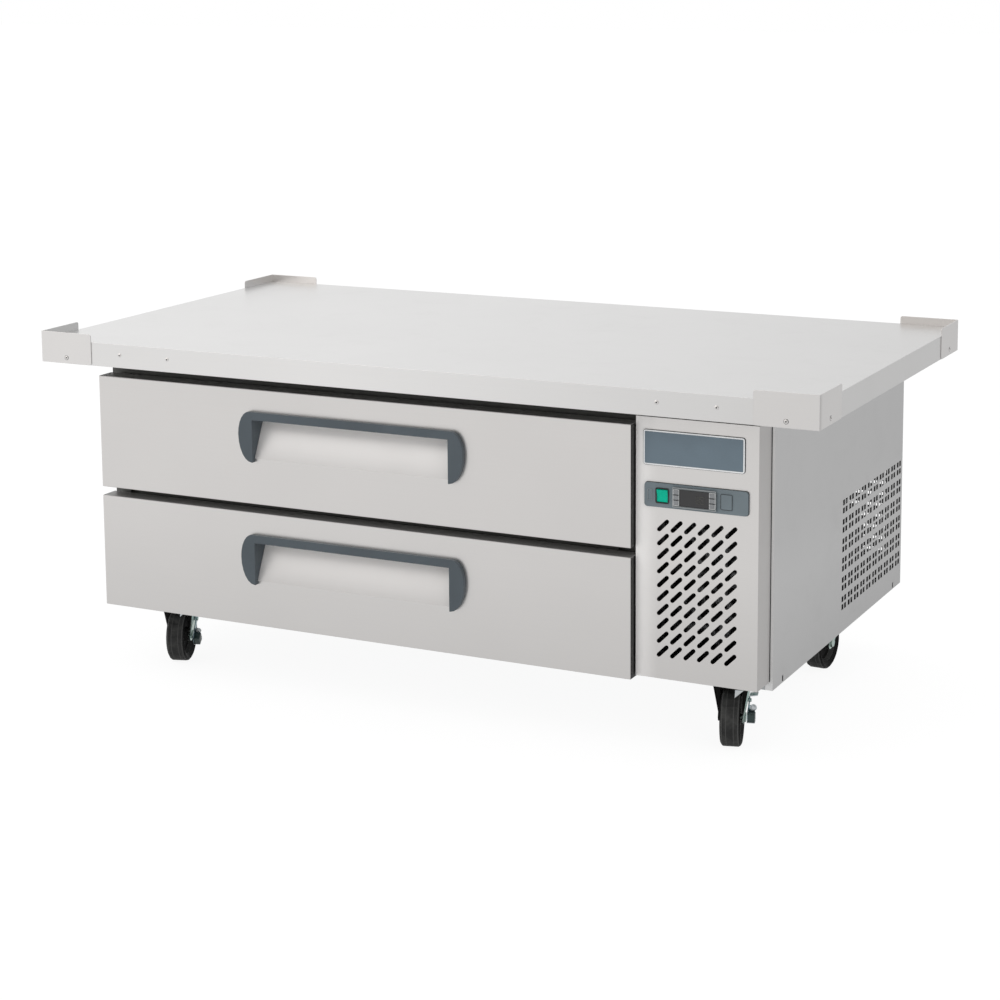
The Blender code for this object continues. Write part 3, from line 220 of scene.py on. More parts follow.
def steelMaterial(name, look):
    # Rolled and brushed sheet: fine lines along the grain, broad mill clouds and faint handling marks
    material, tree, shader = newMaterial(name)
    colour = look["colour"]
    lines = noise(tree, look["lineStretch"], detail=4, roughness=0.65)
    clouds = noise(tree, (5, 5, 5), detail=2)
    marks = noise(tree, (16, 16, 16), detail=5, roughness=0.7, offset=(3, 7, 1), distortion=0.6)
    bright = tinted(colour, 1 + look["variation"])
    dark = tinted(colour, 1 - look["variation"])
    base = blended(tree, ranged(tree, lines, 0.3, 0.7, 0, 1), dark, bright)
    share = ranged(tree, clouds, 0.35, 0.65, 0, 0.5)
    cloudy = blended(tree, share, base, tinted(colour, 1 - look["cloud"]))
    shown = shadingPainted(tree, cloudy, look["shadingTones"], look["drift"], look["faceShadingDrifts"])
    roughness = combined(
        tree, "ADD",
        ranged(tree, lines, 0.3, 0.7, look["roughness"] - 0.02, look["roughness"] + 0.02),
        ranged(tree, marks, 0.52, 0.72, 0, look["smudge"]),
    )
    painted(tree, shader, shown, roughness, 1)
    if look["matt"]:
        tree.links.new(ramp(tree, *look["matt"]), shader.inputs["Metallic"])
    bumped(tree, shader, [(lines, look["lineDepth"]), (clouds, look["waveDepth"])], look["edgeRadius"])
    return material


# Tones, drifts and face drifts are painted light and shade. A tone is a way that faces look and how much it
# scales the colour there. A way is an axis of the face's direction, where it starts and where it is full. A
# drift scales the colour along the sheet, a face drift does so only on the faces that look one way, and matt
# makes a sheet less metallic by direction or by place.
steelLook = {
    "colour": (0.828, 0.812, 0.80),
    "variation": 0.012,
    "cloud": 0.025,
    "roughness": 0.34,
    "smudge": 0.05,
    "lineStretch": (7, 7, 1900),
    "lineDepth": 0.000003,
    "waveDepth": 0.00012,
    "edgeRadius": 0.0009,
    "shadingTones": [],
    "drift": None,
    "faceShadingDrifts": [],
    "matt": None,
}
rightFaces = ("X", 0.6, 0.8)
frontFaces = ("Y", -0.6, -0.8)
topFaces = ("Z", 0.85, 0.97)
slopingFaces = ("Z", 0.06, 0.2)
# What each sheet changes of the look above
steelLooks = {
    # Painted shade on the right and top faces and low down; painted light deep in the handle's pocket
    "drawer_steel": {
        "shadingTones": [(*rightFaces, 0.03), (*topFaces, 0.35)],
        "drift": ("Z", 0.13, 0.3, 0.96, 1.018),
        "faceShadingDrifts": [(*slopingFaces, "Y", -0.381, -0.349, 0.73, 1.22)],
        "matt": ("Normal", *slopingFaces, 1, 0.2),
    },
    # Painted shade on the right faces, low down and near the top; painted light beside the drawers
    "panel_steel": {
        "shadingTones": [(*rightFaces, 0.83)],
        "drift": ("Z", 0.14, 0.34, 0.95, 1.06),
        "faceShadingDrifts": [
            (*frontFaces, "Z", 0.42, 0.57, 1, 0.96), (*frontFaces, "X", 0.4285, 0.458, 1.19, 1),
        ],
        "matt": ("Object", "X", 0.442, 0.468, 0.15, 1),
    },
    # Painted light on the apron's front and right faces, lighter to the left and darker to the right
    "deck_steel": {
        "colour": (0.79, 0.785, 0.78),
        "lineStretch": (6, 1900, 1900),
        "roughness": 0.3,
        "shadingTones": [(*frontFaces, 1.17), (*rightFaces, 1.25)],
        "drift": ("X", -0.2, 0.65, 1.0, 0.95),
        "faceShadingDrifts": [
            (*frontFaces, "X", -0.7, -0.2, 1.01, 1.06), (*frontFaces, "X", -0.05, 0.6, 1, 0.91),
        ],
    },
    # Painted light on the right faces and to the left; painted shadow along the right faces' front edge
    "guard_steel": {
        "colour": (0.84, 0.825, 0.815),
        "roughness": 0.3,
        "shadingTones": [(*rightFaces, 1.16)],
        "drift": ("X", -0.7, 0.7, 1.09, 1.005),
        "faceShadingDrifts": [(*rightFaces, "Y", -0.406, -0.393, 0.74, 1)],
    },
    # Painted shade: the body's right faces much darker
    "body_steel": {"colour": (0.74, 0.74, 0.74), "roughness": 0.4, "shadingTones": [(*rightFaces, 0.2)]},
    # Painted light on the front faces; painted shade low on the right faces, lighter higher up
    "side_steel": {
        "colour": (0.73, 0.73, 0.73),
        "roughness": 0.36,
        "edgeRadius": 0,
        "shadingTones": [(*frontFaces, 1.16)],
        "faceShadingDrifts": [(*rightFaces, "Z", 0.13, 0.3, 0.87, 1.03), (*rightFaces, "Z", 0.4, 0.6, 1, 1.06)],
    },
    "pan_frame_steel": {"roughness": 0.42, "lineStretch": (7, 7, 1700)},
}
steels = {name: steelMaterial(name, {**steelLook, **look}) for name, look in steelLooks.items()}


def galvanisedMaterial(name, look):
    # Spangled zinc: crystal patches about a centimetre across with their own brightness
    material, tree, shader = newMaterial(name)
    cells = tree.nodes.new("ShaderNodeTexVoronoi")
    cells.inputs["Scale"].default_value = 1
    tree.links.new(stretched(tree, (look["cells"],) * 3), cells.inputs["Vector"])
    separate = tree.nodes.new("ShaderNodeSeparateColor")
    tree.links.new(cells.outputs["Color"], separate.inputs["Color"])
    patch = separate.outputs["Red"]
    fine = noise(tree, (900, 900, 900), detail=3)
    mixed = combined(tree, "ADD", ranged(tree, patch, 0, 1, 0, 0.75), ranged(tree, fine, 0.3, 0.7, 0, 0.25))
    colour = blended(tree, mixed, look["dark"], look["light"])
    painted(tree, shader, colour, ranged(tree, patch, 0, 1, 0.36, 0.52), 0.9)
    bumped(tree, shader, [(fine, 0.00003)], 0.0008)
    return material


galvanised = galvanisedMaterial("galvanised_sheet", {
    "cells": 90, "dark": (0.44, 0.46, 0.47), "light": (0.60, 0.62, 0.63),
})


def zincMaterial(name, look):
    # Bright zinc with a thin blue passivation whose tint drifts over the part
    material, tree, shader = newMaterial(name)
    drift = noise(tree, (38, 38, 38), detail=2)
    scratches = noise(tree, (300, 900, 260), detail=4, roughness=0.6)
    colour = blended(tree, ranged(tree, drift, 0.35, 0.65, 0, 1), look["colour"], look["drift"])
    worn = blended(tree, ranged(tree, scratches, 0.6, 0.75, 0, 0.5), colour, look["worn"])
    if look["middle"] is not None:
        # Painted shade: the fork's inner faces, the left leg's front edge and the crown's underside are
        # painted near black
        across = combined(tree, "SUBTRACT", along(tree, "Object", "X"), look["middle"])
        side = ranged(tree, across, -0.002, 0.002, 1, -1)
        inward = ranged(tree, combined(tree, "MULTIPLY", side, along(tree, "Normal", "X")), 0.3, 0.6, 0, 1)
        below = ramp(tree, "Normal", "Z", -0.4, -0.7, 0, 1)
        front = ramp(tree, "Normal", "Y", -0.4, -0.7, 0, 1)
        leftEdge = combined(tree, "MULTIPLY", ranged(tree, side, 0.2, 0.8, 0, 1), front)
        shadeMask = combined(tree, "MAXIMUM", combined(tree, "MAXIMUM", inward, below), leftEdge)
        worn = blended(tree, shadeMask, worn, look["forkShade"])
    painted(tree, shader, worn, ranged(tree, scratches, 0.3, 0.7, 0.22, 0.4), 1)
    bumped(tree, shader, [(scratches, 0.00002)], 0.0006)
    return material


# The middle is the place along X between the legs of a fork with painted shade; a piece with none has none
zincLook = {
    "colour": (0.46, 0.62, 0.59),
    "drift": (0.56, 0.66, 0.60),
    "worn": (0.72, 0.75, 0.74),
    # The near-black colour of the fork's painted shade
    "forkShade": (0.006, 0.006, 0.006),
    "middle": None,
}
zincPlate = zincMaterial("zinc_plate", zincLook)
brightZinc = zincMaterial("bright_zinc", {
    **zincLook, "colour": (0.72, 0.75, 0.76), "drift": (0.66, 0.72, 0.76), "worn": (0.8, 0.8, 0.8),
})
bracketZinc = zincMaterial("bracket_zinc", {
    **zincLook, "colour": (0.34, 0.46, 0.52), "drift": (0.42, 0.52, 0.54),
})


def plasticMaterial(name, look):
    # Moulded plastic: fine spark-eroded texture, slight shade drift and handling gloss
    material, tree, shader = newMaterial(name)
    grain = noise(tree, (look["grain"],) * 3, detail=2, roughness=0.6)
    shade = noise(tree, (14, 14, 14), detail=3)
    colour = blended(
        tree, ranged(tree, shade, 0.3, 0.7, 0, 1),
        tinted(look["colour"], 0.93), tinted(look["colour"], 1.07),
    )
    roughness = combined(
        tree, "ADD",
        ranged(tree, grain, 0.3, 0.7, look["roughness"] - 0.06, look["roughness"] + 0.06),
        ranged(tree, shade, 0.45, 0.7, 0, -0.08),
    )
    # A plastic's drift, where it has one, is a painted highlight
    painted(tree, shader, shadingPainted(tree, colour, [], look["drift"], []), roughness)
    shader.inputs["Specular IOR Level"].default_value = look["specular"]
    bumped(tree, shader, [(grain, look["depth"])], look["edgeRadius"])
    return material


plasticLook = {"grain": 3500, "depth": 0.00001, "specular": 0.5, "edgeRadius": 0.0007, "drift": None}
# What each plastic, rubber or paint adds to the look above
plasticLooks = {
    "slate_plastic": {"colour": (0.071, 0.09, 0.105), "grain": 2600, "depth": 0.00003, "roughness": 0.42},
    "bezel_plastic": {"colour": (0.155, 0.192, 0.213), "grain": 3000, "depth": 0.00003, "roughness": 0.5},
    "controller_plastic": {"colour": (0.15, 0.168, 0.175), "roughness": 0.4},
    "rim_plastic": {"colour": (0.33, 0.35, 0.36), "roughness": 0.4},
    "silver_plastic": {"colour": (0.52, 0.53, 0.53), "roughness": 0.38},
    # Near black, for painted shade only: rivet middles and seams, the plate's line and the flange's strip
    "shade_dark": {"colour": (0.03, 0.036, 0.04), "roughness": 0.45},
    "key_rubber": {"colour": (0.24, 0.25, 0.26), "grain": 4000, "depth": 0.00002, "roughness": 0.6},
    "black_plastic": {"colour": (0.012, 0.012, 0.012), "grain": 2600, "depth": 0.00003, "roughness": 0.45},
    "pedal_plastic": {"colour": (0.022, 0.042, 0.04), "grain": 2400, "depth": 0.00004, "roughness": 0.32},
    # Thread guards: near black with little gloss, which also paints the shade between the legs and wheel
    "guard_black": {
        "colour": (0.006, 0.006, 0.006), "grain": 2200, "depth": 0.00004, "roughness": 0.6, "specular": 0.1,
    },
    "switch_green": {
        "colour": (0.0, 0.36, 0.235), "grain": 3000, "depth": 0.000005, "roughness": 0.24, "specular": 0.16,
        # Painted highlight, lighter towards the rocker's right
        "drift": ("X", 0.455, 0.474, 0.82, 1.3),
    },
    "gasket_vinyl": {"colour": (0.11, 0.11, 0.105), "grain": 1800, "depth": 0.00004, "roughness": 0.62},
    "frame_facing": {"colour": (0.12, 0.12, 0.114), "grain": 2200, "depth": 0.00004, "roughness": 0.5},
    "badge_enamel": {"colour": (0.138, 0.188, 0.228), "grain": 3200, "roughness": 0.34},
    "badge_white": {"colour": (0.86, 0.87, 0.88), "grain": 3200, "roughness": 0.35},
    "lens_black": {"colour": (0.035, 0.035, 0.036), "grain": 5000, "depth": 0.000003, "roughness": 0.16},
    "digit_grey": {"colour": (0.062, 0.062, 0.055), "grain": 5000, "depth": 0.000003, "roughness": 0.3},
    "black_paint": {"colour": (0.02, 0.02, 0.021), "grain": 700, "depth": 0.00008, "roughness": 0.4},
    "fan_plastic": {"colour": (0.022, 0.022, 0.023), "grain": 2200, "depth": 0.00003, "roughness": 0.46},
}
plastics = {name: plasticMaterial(name, {**plasticLook, **look}) for name, look in plasticLooks.items()}


def rubberMaterial(name, look, axle, hub):
    # Tyre rubber: dusty grey-black with moulding lines round the tread, a painted highlight on the shoulders
    # and painted shade on the side walls
    material, tree, shader = newMaterial(name)
    dust = noise(tree, (45, 45, 45), detail=5, roughness=0.65)
    grit = noise(tree, (1300, 1300, 1300), detail=3)
    colour = blended(tree, ranged(tree, dust, 0.42, 0.66, 0, 1), look["colour"], look["dust"])
    across = combined(tree, "SUBTRACT", alongAxle(tree, "Object", axle), Vector(axle).dot(Vector(hub)))
    for place in look["lines"]:
        off = combined(tree, "ABSOLUTE", combined(tree, "SUBTRACT", across, place), 0)
        share = ranged(tree, off, look["lineHalf"] * 0.6, look["lineHalf"], 0.8, 0)
        colour = blended(tree, share, colour, look["line"])
    # Painted highlight on the shoulders and painted shade on the side walls, by how far a face turns to the
    # axle
    walls = combined(tree, "ABSOLUTE", alongAxle(tree, "Normal", axle), 0)
    shoulderHighlight = blended(tree, ranged(tree, walls, 0.05, 0.3, 0, 0.8), colour, look["line"])
    shown = blended(tree, ranged(tree, walls, 0.45, 0.65, 0, 1), shoulderHighlight, look["wall"])
    painted(tree, shader, shown, ranged(tree, dust, 0.35, 0.7, 0.5, 0.72))
    shader.inputs["Specular IOR Level"].default_value = look["specular"]
    bumped(tree, shader, [(grit, 0.00006), (dust, 0.0002)], 0.001)
    return material


# The lines are places along the axle, from the tread's middle
tyreLook = {
    "colour": (0.028, 0.028, 0.028),
    "dust": (0.06, 0.06, 0.058),
    "wall": (0.006, 0.006, 0.006),
    "line": (0.085, 0.085, 0.083),
    "lines": (-0.0065, 0.0065),
    "lineHalf": 0.0009,
    "specular": 0.12,
}


def aluminiumMaterial(name, look):
    # Mill-finish sheet: rolling lines under a duller haze
    material, tree, shader = newMaterial(name)
    lines = noise(tree, look["lineStretch"], detail=4, roughness=0.6)
    haze = noise(tree, (look["hazeScale"],) * 3, detail=4)
    bright = tinted(look["colour"], 1.05)
    dark = tinted(look["colour"], 0.93)
    colour = blended(tree, ranged(tree, lines, 0.3, 0.7, 0, 1), dark, bright)
    hazeLow, hazeHigh, hazeShare = look["hazeRange"]
    hazed = blended(tree, ranged(tree, haze, hazeLow, hazeHigh, 0, hazeShare), colour, look["haze"])
    roughness = ranged(tree, haze, 0.3, 0.7, look["roughness"] - 0.06, look["roughness"] + 0.1)
    painted(tree, shader, hazed, roughness, 1)
    bumped(tree, shader, [(lines, 0.00002)], look["edgeRadius"])
    return material


# A haze range is where the haze starts and is full, and how much of the metal it then covers
aluminiumLook = {"hazeScale": 11, "hazeRange": (0.5, 0.75, 0.35), "edgeRadius": 0}
linerAluminium = aluminiumMaterial("liner_aluminium", {
    **aluminiumLook, "colour": (0.74, 0.75, 0.76), "haze": (0.62, 0.63, 0.64), "roughness": 0.4,
    "lineStretch": (1100, 9, 9), "edgeRadius": 0.0008,
})
finAluminium = aluminiumMaterial("fin_aluminium", {
    **aluminiumLook, "colour": (0.6, 0.6, 0.6), "haze": (0.3, 0.3, 0.29), "roughness": 0.45,
    "lineStretch": (40, 400, 900),
})
# The condenser's fins are painted near black as shade inside the machine compartment, with bare metal showing
# in streaks
shadedFins = aluminiumMaterial("shaded_fins", {
    **aluminiumLook, "colour": (0.26, 0.265, 0.27), "haze": (0.008, 0.008, 0.008), "roughness": 0.4,
    "lineStretch": (500, 400, 30), "hazeRange": (0.4, 0.5, 0.97), "hazeScale": 75,
})


def copperMaterial(name, look):
    # Drawn copper with patches of brown tarnish
    material, tree, shader = newMaterial(name)
    tarnish = noise(tree, (60, 60, 60), detail=4, roughness=0.6)
    colour = blended(tree, ranged(tree, tarnish, 0.4, 0.7, 0, 1), look["colour"], look["tarnish"])
    painted(tree, shader, colour, ranged(tree, tarnish, 0.4, 0.7, 0.24, 0.5), 1)
    bumped(tree, shader, [(tarnish, 0.00003)])
    return material


copper = copperMaterial("copper_pipe", {"colour": (0.72, 0.36, 0.24), "tarnish": (0.34, 0.17, 0.1)})
print("materials made:", len(bpy.data.materials))

# Carried-over nodes, by the start of each name once upper_ or lower_ is taken off

nodeMaterials = {
    "worktop": steels["deck_steel"],
    "guard": steels["guard_steel"],
    "cabinet_body": steels["body_steel"],
    "cabinet_liner": linerAluminium,
    "front_frame": plastics["frame_facing"],
    "base_tray": galvanised,
    "drawer_front": steels["drawer_steel"],
    "drawer_gasket": plastics["gasket_vinyl"],
    "drawer_handle": plastics["slate_plastic"],
    "pan_frame": steels["pan_frame_steel"],
    "slide": brightZinc,
    "machine_front_panel": steels["panel_steel"],
    "name_plate": plastics["badge_enamel"],
    "control_bezel": plastics["bezel_plastic"],
    "rocker_switch": plastics["switch_green"],
    "temperature_controller": plastics["controller_plastic"],
    "controller_lens": plastics["lens_black"],
    "controller_key": plastics["key_rubber"],
    "side_panel": steels["side_steel"],
    "rear_panel": galvanised,
    "condenser": shadedFins,
    "fan_shroud": plastics["black_paint"],
    "condenser_fan": plastics["fan_plastic"],
    "compressor": plastics["black_paint"],
    "evaporator_housing": linerAluminium,
    "evaporator_fan": plastics["fan_plastic"],
    "evaporator_coil": finAluminium,
}
casterMaterials = {"caster_plate": zincPlate, "brake_pedal": bracketZinc}
joints = {joint["name"]: joint for joint in frame["joints"]}


def forkMaterial(name):
    return zincMaterial(name + "_zinc", {**zincLook, "middle": middle(*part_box(name))[0]})


def wheelMaterial(name):
    joint = joints[name.replace("_caster_wheel", "_roll")]
    return rubberMaterial(name + "_rubber", tyreLook, joint["axis"], joint["pos_m"])


def materialFor(name):
    if name.endswith("_fork"):
        return forkMaterial(name)
    if name.endswith("_wheel"):
        return wheelMaterial(name)
    for ending, material in casterMaterials.items():
        if name.endswith(ending):
            return material
    part = name.removeprefix("upper_").removeprefix("lower_")
    best = max((key for key in nodeMaterials if part.startswith(key)), key=len)
    return nodeMaterials[best]


for name, node in nodes.items():
    for place in node.material_slots:
        place.material = materialFor(name)
print("nodes dressed")

# Mesh helpers

mergeGap = 0.000005
# How far the back of a fitting lies below the face that it sits on
sunk = 0.0001
# Frames keep their bevelled corners crisp
frameAngle = 50


def newObject(name, data):
    made = bpy.data.objects.new(name, data)
    bpy.context.scene.collection.objects.link(made)
    return made


def rounded(part, edges, offset, segments):
    bmesh.ops.bevel(
        part, geom=edges, offset=offset, segments=segments, profile=0.5, affect="EDGES", material=-1,
    )


def piece(name, work, material, body, smoothAngle=30):
    bmesh.ops.remove_doubles(work, verts=work.verts, dist=mergeGap)
    bmesh.ops.recalc_face_normals(work, faces=work.faces)
    mesh = bpy.data.meshes.new(name)
    work.to_mesh(mesh)
    work.free()
    mesh.shade_smooth()
    mesh.set_sharp_from_angle(angle=radians(smoothAngle))
    mesh.materials.append(material)
    made = newObject(name, mesh)
    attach(made, body)


def merged(work, part):
    # Adds a finished part to the piece that is being made
    holder = bpy.data.meshes.new("holder")
    part.to_mesh(holder)
    part.free()
    work.from_mesh(holder)
    bpy.data.meshes.remove(holder)


def turn(work, profile, matrix, steps=16):
    # Spins (radius, height) points round local Z and places the result
    part = bmesh.new()
    verts = [part.verts.new((radius, 0, height)) for radius, height in profile]
    edges = [part.edges.new(pair) for pair in zip(verts, verts[1:])]
    bmesh.ops.spin(
        part, geom=verts + edges, cent=(0, 0, 0), axis=(0, 0, 1), angle=2 * pi, steps=steps, use_merge=True,
    )
    bmesh.ops.remove_doubles(part, verts=part.verts, dist=mergeGap)
    bmesh.ops.transform(part, matrix=matrix, verts=part.verts)
    merged(work, part)


def facing(place, direction):
    return Matrix.Translation(place) @ Vector(direction).to_track_quat("Z", "Y").to_matrix().to_4x4()


def addBox(work, low, high, bevel=0, matrix=None):
    part = bmesh.new()
    bmesh.ops.create_cube(part, size=1)
    bmesh.ops.scale(part, vec=[b - a for a, b in zip(low, high)], verts=part.verts)
    bmesh.ops.translate(part, vec=middle(low, high), verts=part.verts)
    if bevel:
        rounded(part, part.edges, bevel, 2)
    if matrix:
        bmesh.ops.transform(part, matrix=matrix, verts=part.verts)
    merged(work, part)


def addFrame(work, low, high, band, corner):
    # A flat rounded frame that faces -Y: a slab with its middle taken out
    part = bmesh.new()
    addBox(part, low, high)
    part.normal_update()
    upright = [edge for edge in part.edges if abs((edge.verts[1].co - edge.verts[0].co).normalized().y) > 0.9]
    rounded(part, upright, corner, 4)
    for side in (-1, 1):
        part.normal_update()
        face = max(part.faces, key=lambda item: item.normal.y * side * item.calc_area())
        bmesh.ops.inset_region(part, faces=[face], thickness=band, use_boundary=True, use_even_offset=True)
        bmesh.ops.delete(part, geom=[face], context="FACES")
    bmesh.ops.bridge_loops(part, edges=[edge for edge in part.edges if edge.is_boundary])
    merged(work, part)


# Shares of a bolt head's depth or radius
boltShape = {"chamfer": 0.15, "washerRadius": 1.35, "washerDepth": 0.25}


def addBolt(work, place, direction, radius, depth):
    # Hexagon head with chamfered top on a round washer
    part = bmesh.new()
    bmesh.ops.create_cone(part, cap_ends=True, segments=6, radius1=radius, radius2=radius, depth=depth)
    top = [edge for edge in part.edges if min(vert.co.z for vert in edge.verts) > 0]
    rounded(part, top, depth * boltShape["chamfer"], 1)
    bmesh.ops.translate(part, vec=(0, 0, depth / 2), verts=part.verts)
    bmesh.ops.transform(part, matrix=facing(place, direction), verts=part.verts)
    merged(work, part)
    washer = radius * boltShape["washerRadius"]
    thick = depth * boltShape["washerDepth"]
    turn(work, [(0, 0), (washer, 0), (washer, thick), (0, thick)], facing(place, direction), 20)


# Rivets along the apron and through the corner guards

rivetLook = {
    "headRadius": 0.0039,
    "headRise": 0.0011,
    "mandrelRadius": 0.0012,
    "seam": 0.0006,
    "seamRise": 0.0001,
    "apronInset": 0.0015,
    "guardFromCorner": 0.056,
    "guardHeight": 0.602,
    "apronHeight": 0.6145,
    "apronPlaces": (-0.587, -0.482, 0.482, 0.587),
}


def rivetProfile(look):
    radius = look["headRadius"]
    rise = look["headRise"]
    core = look["mandrelRadius"]
    return [
        (0, 0), (radius, 0), (radius, rise * 0.25), (radius * 0.86, rise * 0.7), (radius * 0.55, rise),
        (core * 1.25, rise), (core, rise * 0.35), (0, rise * 0.35),
    ]


def coreProfile(look):
    # The broken mandrel in the rivet's middle, near black as painted shade in the head's hollow
    core = look["mandrelRadius"] * 0.98
    rise = look["headRise"]
    return [
        (0, rise * 0.3), (core, rise * 0.3), (core, rise * 0.75), (core * 0.6, rise * 0.85), (0, rise * 0.85),
    ]


def seamShadowProfile(look):
    # Painted shadow: a dark ring round the rivet's head, where its seam is
    radius = look["headRadius"]
    outer = radius + look["seam"]
    rise = look["seamRise"]
    return [(radius, rise), (outer, rise * 0.3), (outer, -sunk), (radius, -sunk), (radius, rise)]


def makeRivets(name, look, profile, material, onApron=True):
    work = bmesh.new()
    low, high = cadBox
    apronY = -low[1] - look["apronInset"]
    inX = high[0] - look["guardFromCorner"]
    inY = -low[1] - look["guardFromCorner"]
    for side in (-1, 1):
        for x in (-inX, inX):
            turn(work, profile, facing((x, side * -low[1], look["guardHeight"]), (0, side, 0)))
        for y in (-inY, inY):
            turn(work, profile, facing((side * high[0], y, look["guardHeight"]), (side, 0, 0)))
    for x in look["apronPlaces"] if onApron else ():
        for side in (-1, 1):
            turn(work, profile, facing((x, side * apronY, look["apronHeight"]), (0, side, 0)))
    piece(name, work, material, "base")


makeRivets("apron_rivets", rivetLook, rivetProfile(rivetLook), steels["guard_steel"])
makeRivets("rivet_cores", rivetLook, coreProfile(rivetLook), plastics["shade_dark"])
makeRivets("rivet_seam_shadows", rivetLook, seamShadowProfile(rivetLook), plastics["shade_dark"], onApron=False)
print("rivets made")

# Name plate rim, control details

rimLook = {
    "width": 0.0024,
    "rise": 0.0005,
    "corner": 0.004,
    "shadowBand": 0.0007,
    "shadowWidth": 0.00105,
    "shadowDepth": 0.0012,
}


def makePlateRim(look):
    low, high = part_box("name_plate")
    start = (low[0], low[1] - look["rise"], low[2])
    end = (high[0], low[1], high[2])
    work = bmesh.new()
    addFrame(work, start, end, look["width"], look["corner"])
    piece("name_plate_rim", work, plastics["badge_white"], "base", frameAngle)
    # A dark line of painted shadow shows all round the plate
    band = look["shadowBand"]
    start = (low[0] - band, high[1] - look["shadowDepth"], low[2] - band)
    end = (high[0] + band, high[1], high[2] + band)
    work = bmesh.new()
    addFrame(work, start, end, look["shadowWidth"], look["corner"] + band)
    piece("name_plate_shadow", work, plastics["shade_dark"], "base", frameAngle)


makePlateRim(rimLook)

# Frames on the controls: how far each reaches past its node and stands proud of the face behind it, how
# wide its band is and how round its corners. The plug and the unused place have no node of their own, so
# they have a size, and a shift from the bezel's middle.
controlLook = {
    "key": {"grow": 0.0014, "proud": 0.0006, "band": 0.0011, "corner": 0.0008},
    "switch": {"grow": 0.0022, "proud": 0.0005, "band": 0.0018, "corner": 0.0026},
    "lens": {"grow": 0.0006, "proud": 0.0003, "band": 0.00054, "corner": 0.0009},
    "bezel": {"grow": 0.0007, "proud": 0.0005, "band": 0.000665, "corner": 0.0055},
    "body": {"grow": 0, "proud": 0.0004, "band": 0.0012, "corner": 0.0012},
    "plug": {
        "grow": 0, "proud": 0.0002, "band": 0.0007, "corner": 0.0022,
        "shift": 0.0545, "size": (0.0205, 0.0265),
    },
    "blank": {
        "grow": 0, "proud": 0.0002, "band": 0.0005, "corner": 0.0015,
        "shift": -0.0815, "size": (0.0085, 0.019),
    },
}


def outline(work, place, behind, look):
    # A frame round a place, on the front face of the piece behind it
    low, high = place
    face = behind[0][1]
    grow = look["grow"]
    start = (low[0] - grow, face - look["proud"], low[2] - grow)
    end = (high[0] + grow, face + sunk, high[2] + grow)
    addFrame(work, start, end, look["band"], look["corner"])


def bezelPlace(bezel, look):
    x, y, z = middle(*bezel)
    x += look["shift"]
    width, height = look["size"]
    return (x - width / 2, y, z - height / 2), (x + width / 2, y, z + height / 2)


def makeControlFrames(look):
    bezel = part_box("control_bezel")
    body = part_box("temperature_controller")
    work = bmesh.new()
    for side in ("left", "right"):
        for row in (1, 2, 3):
            outline(work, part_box("controller_key_%s_%d" % (side, row)), body, look["key"])
    piece("key_frames", work, plastics["silver_plastic"], "base", frameAngle)
    work = bmesh.new()
    outline(work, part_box("rocker_switch"), bezel, look["switch"])
    outline(work, bezelPlace(bezel, look["plug"]), bezel, look["plug"])
    outline(work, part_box("controller_lens"), body, look["lens"])
    # Round the bezel, a dark line of painted shadow where it meets the panel
    outline(work, bezel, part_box("machine_front_panel"), look["bezel"])
    piece("control_lines", work, plastics["black_plastic"], "base", frameAngle)
    # The controller's rim, and the faint outline of the unused place at the bezel's left end
    work = bmesh.new()
    outline(work, body, body, look["body"])
    outline(work, bezelPlace(bezel, look["blank"]), bezel, look["blank"])
    piece("control_rims", work, plastics["rim_plastic"], "base", frameAngle)


makeControlFrames(controlLook)

flangeShadowLook = {"gap": 0.0001, "band": 0.0007, "proud": 0.0005, "fromBottom": 0.008, "fromTop": 0.001}


def makeFlangeShadow(look):
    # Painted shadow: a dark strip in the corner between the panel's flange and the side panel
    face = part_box("side_panel")[0][1] - look["gap"]
    low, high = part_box("machine_front_panel")
    edge = high[0] + look["gap"]
    start = (edge, face - look["proud"], low[2] + look["fromBottom"])
    end = (edge + look["band"], face, high[2] - look["fromTop"])
    work = bmesh.new()
    addBox(work, start, end)
    piece("flange_shadow", work, plastics["shade_dark"], "base")


makeFlangeShadow(flangeShadowLook)

# Two unlit figures, seven bars each, behind the right half of the lens
digitLook = {
    "height": 0.0115,
    "width": 0.0062,
    "bar": 0.0011,
    "gap": 0.0021,
    "fromRight": 0.0075,
    "drop": 0.001,
    "rise": 0.00012,
    "round": 0.00003,
    "mitre": 0.7,
}


def makeDigits(look):
    low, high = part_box("controller_lens")
    work = bmesh.new()
    level = middle(low, high)[2] - look["drop"]
    half = look["height"] / 2
    bar = look["bar"]
    mitre = bar * look["mitre"]
    for digit in (0, 1):
        right = high[0] - look["fromRight"] - digit * (look["width"] + look["gap"])
        left = right - look["width"]
        bars = [(left, z - bar / 2, right, z + bar / 2) for z in (level - half, level, level + half)]
        for x in (left, right):
            for start in (level - half, level):
                bars.append((x - bar / 2, start + mitre, x + bar / 2, start + half - mitre))
        for x0, z0, x1, z1 in bars:
            addBox(work, (x0, low[1] - look["rise"], z0), (x1, low[1] + sunk, z1), look["round"])
    piece("display_digits", work, plastics["digit_grey"], "base")


makeDigits(digitLook)
print("control details made")

# Drawers: ribs round the gaskets

gasketLook = {"ribs": (0.25, 0.5, 0.75), "rise": 0.0008, "half": 0.0011, "band": 0.004, "corner": 0.003}


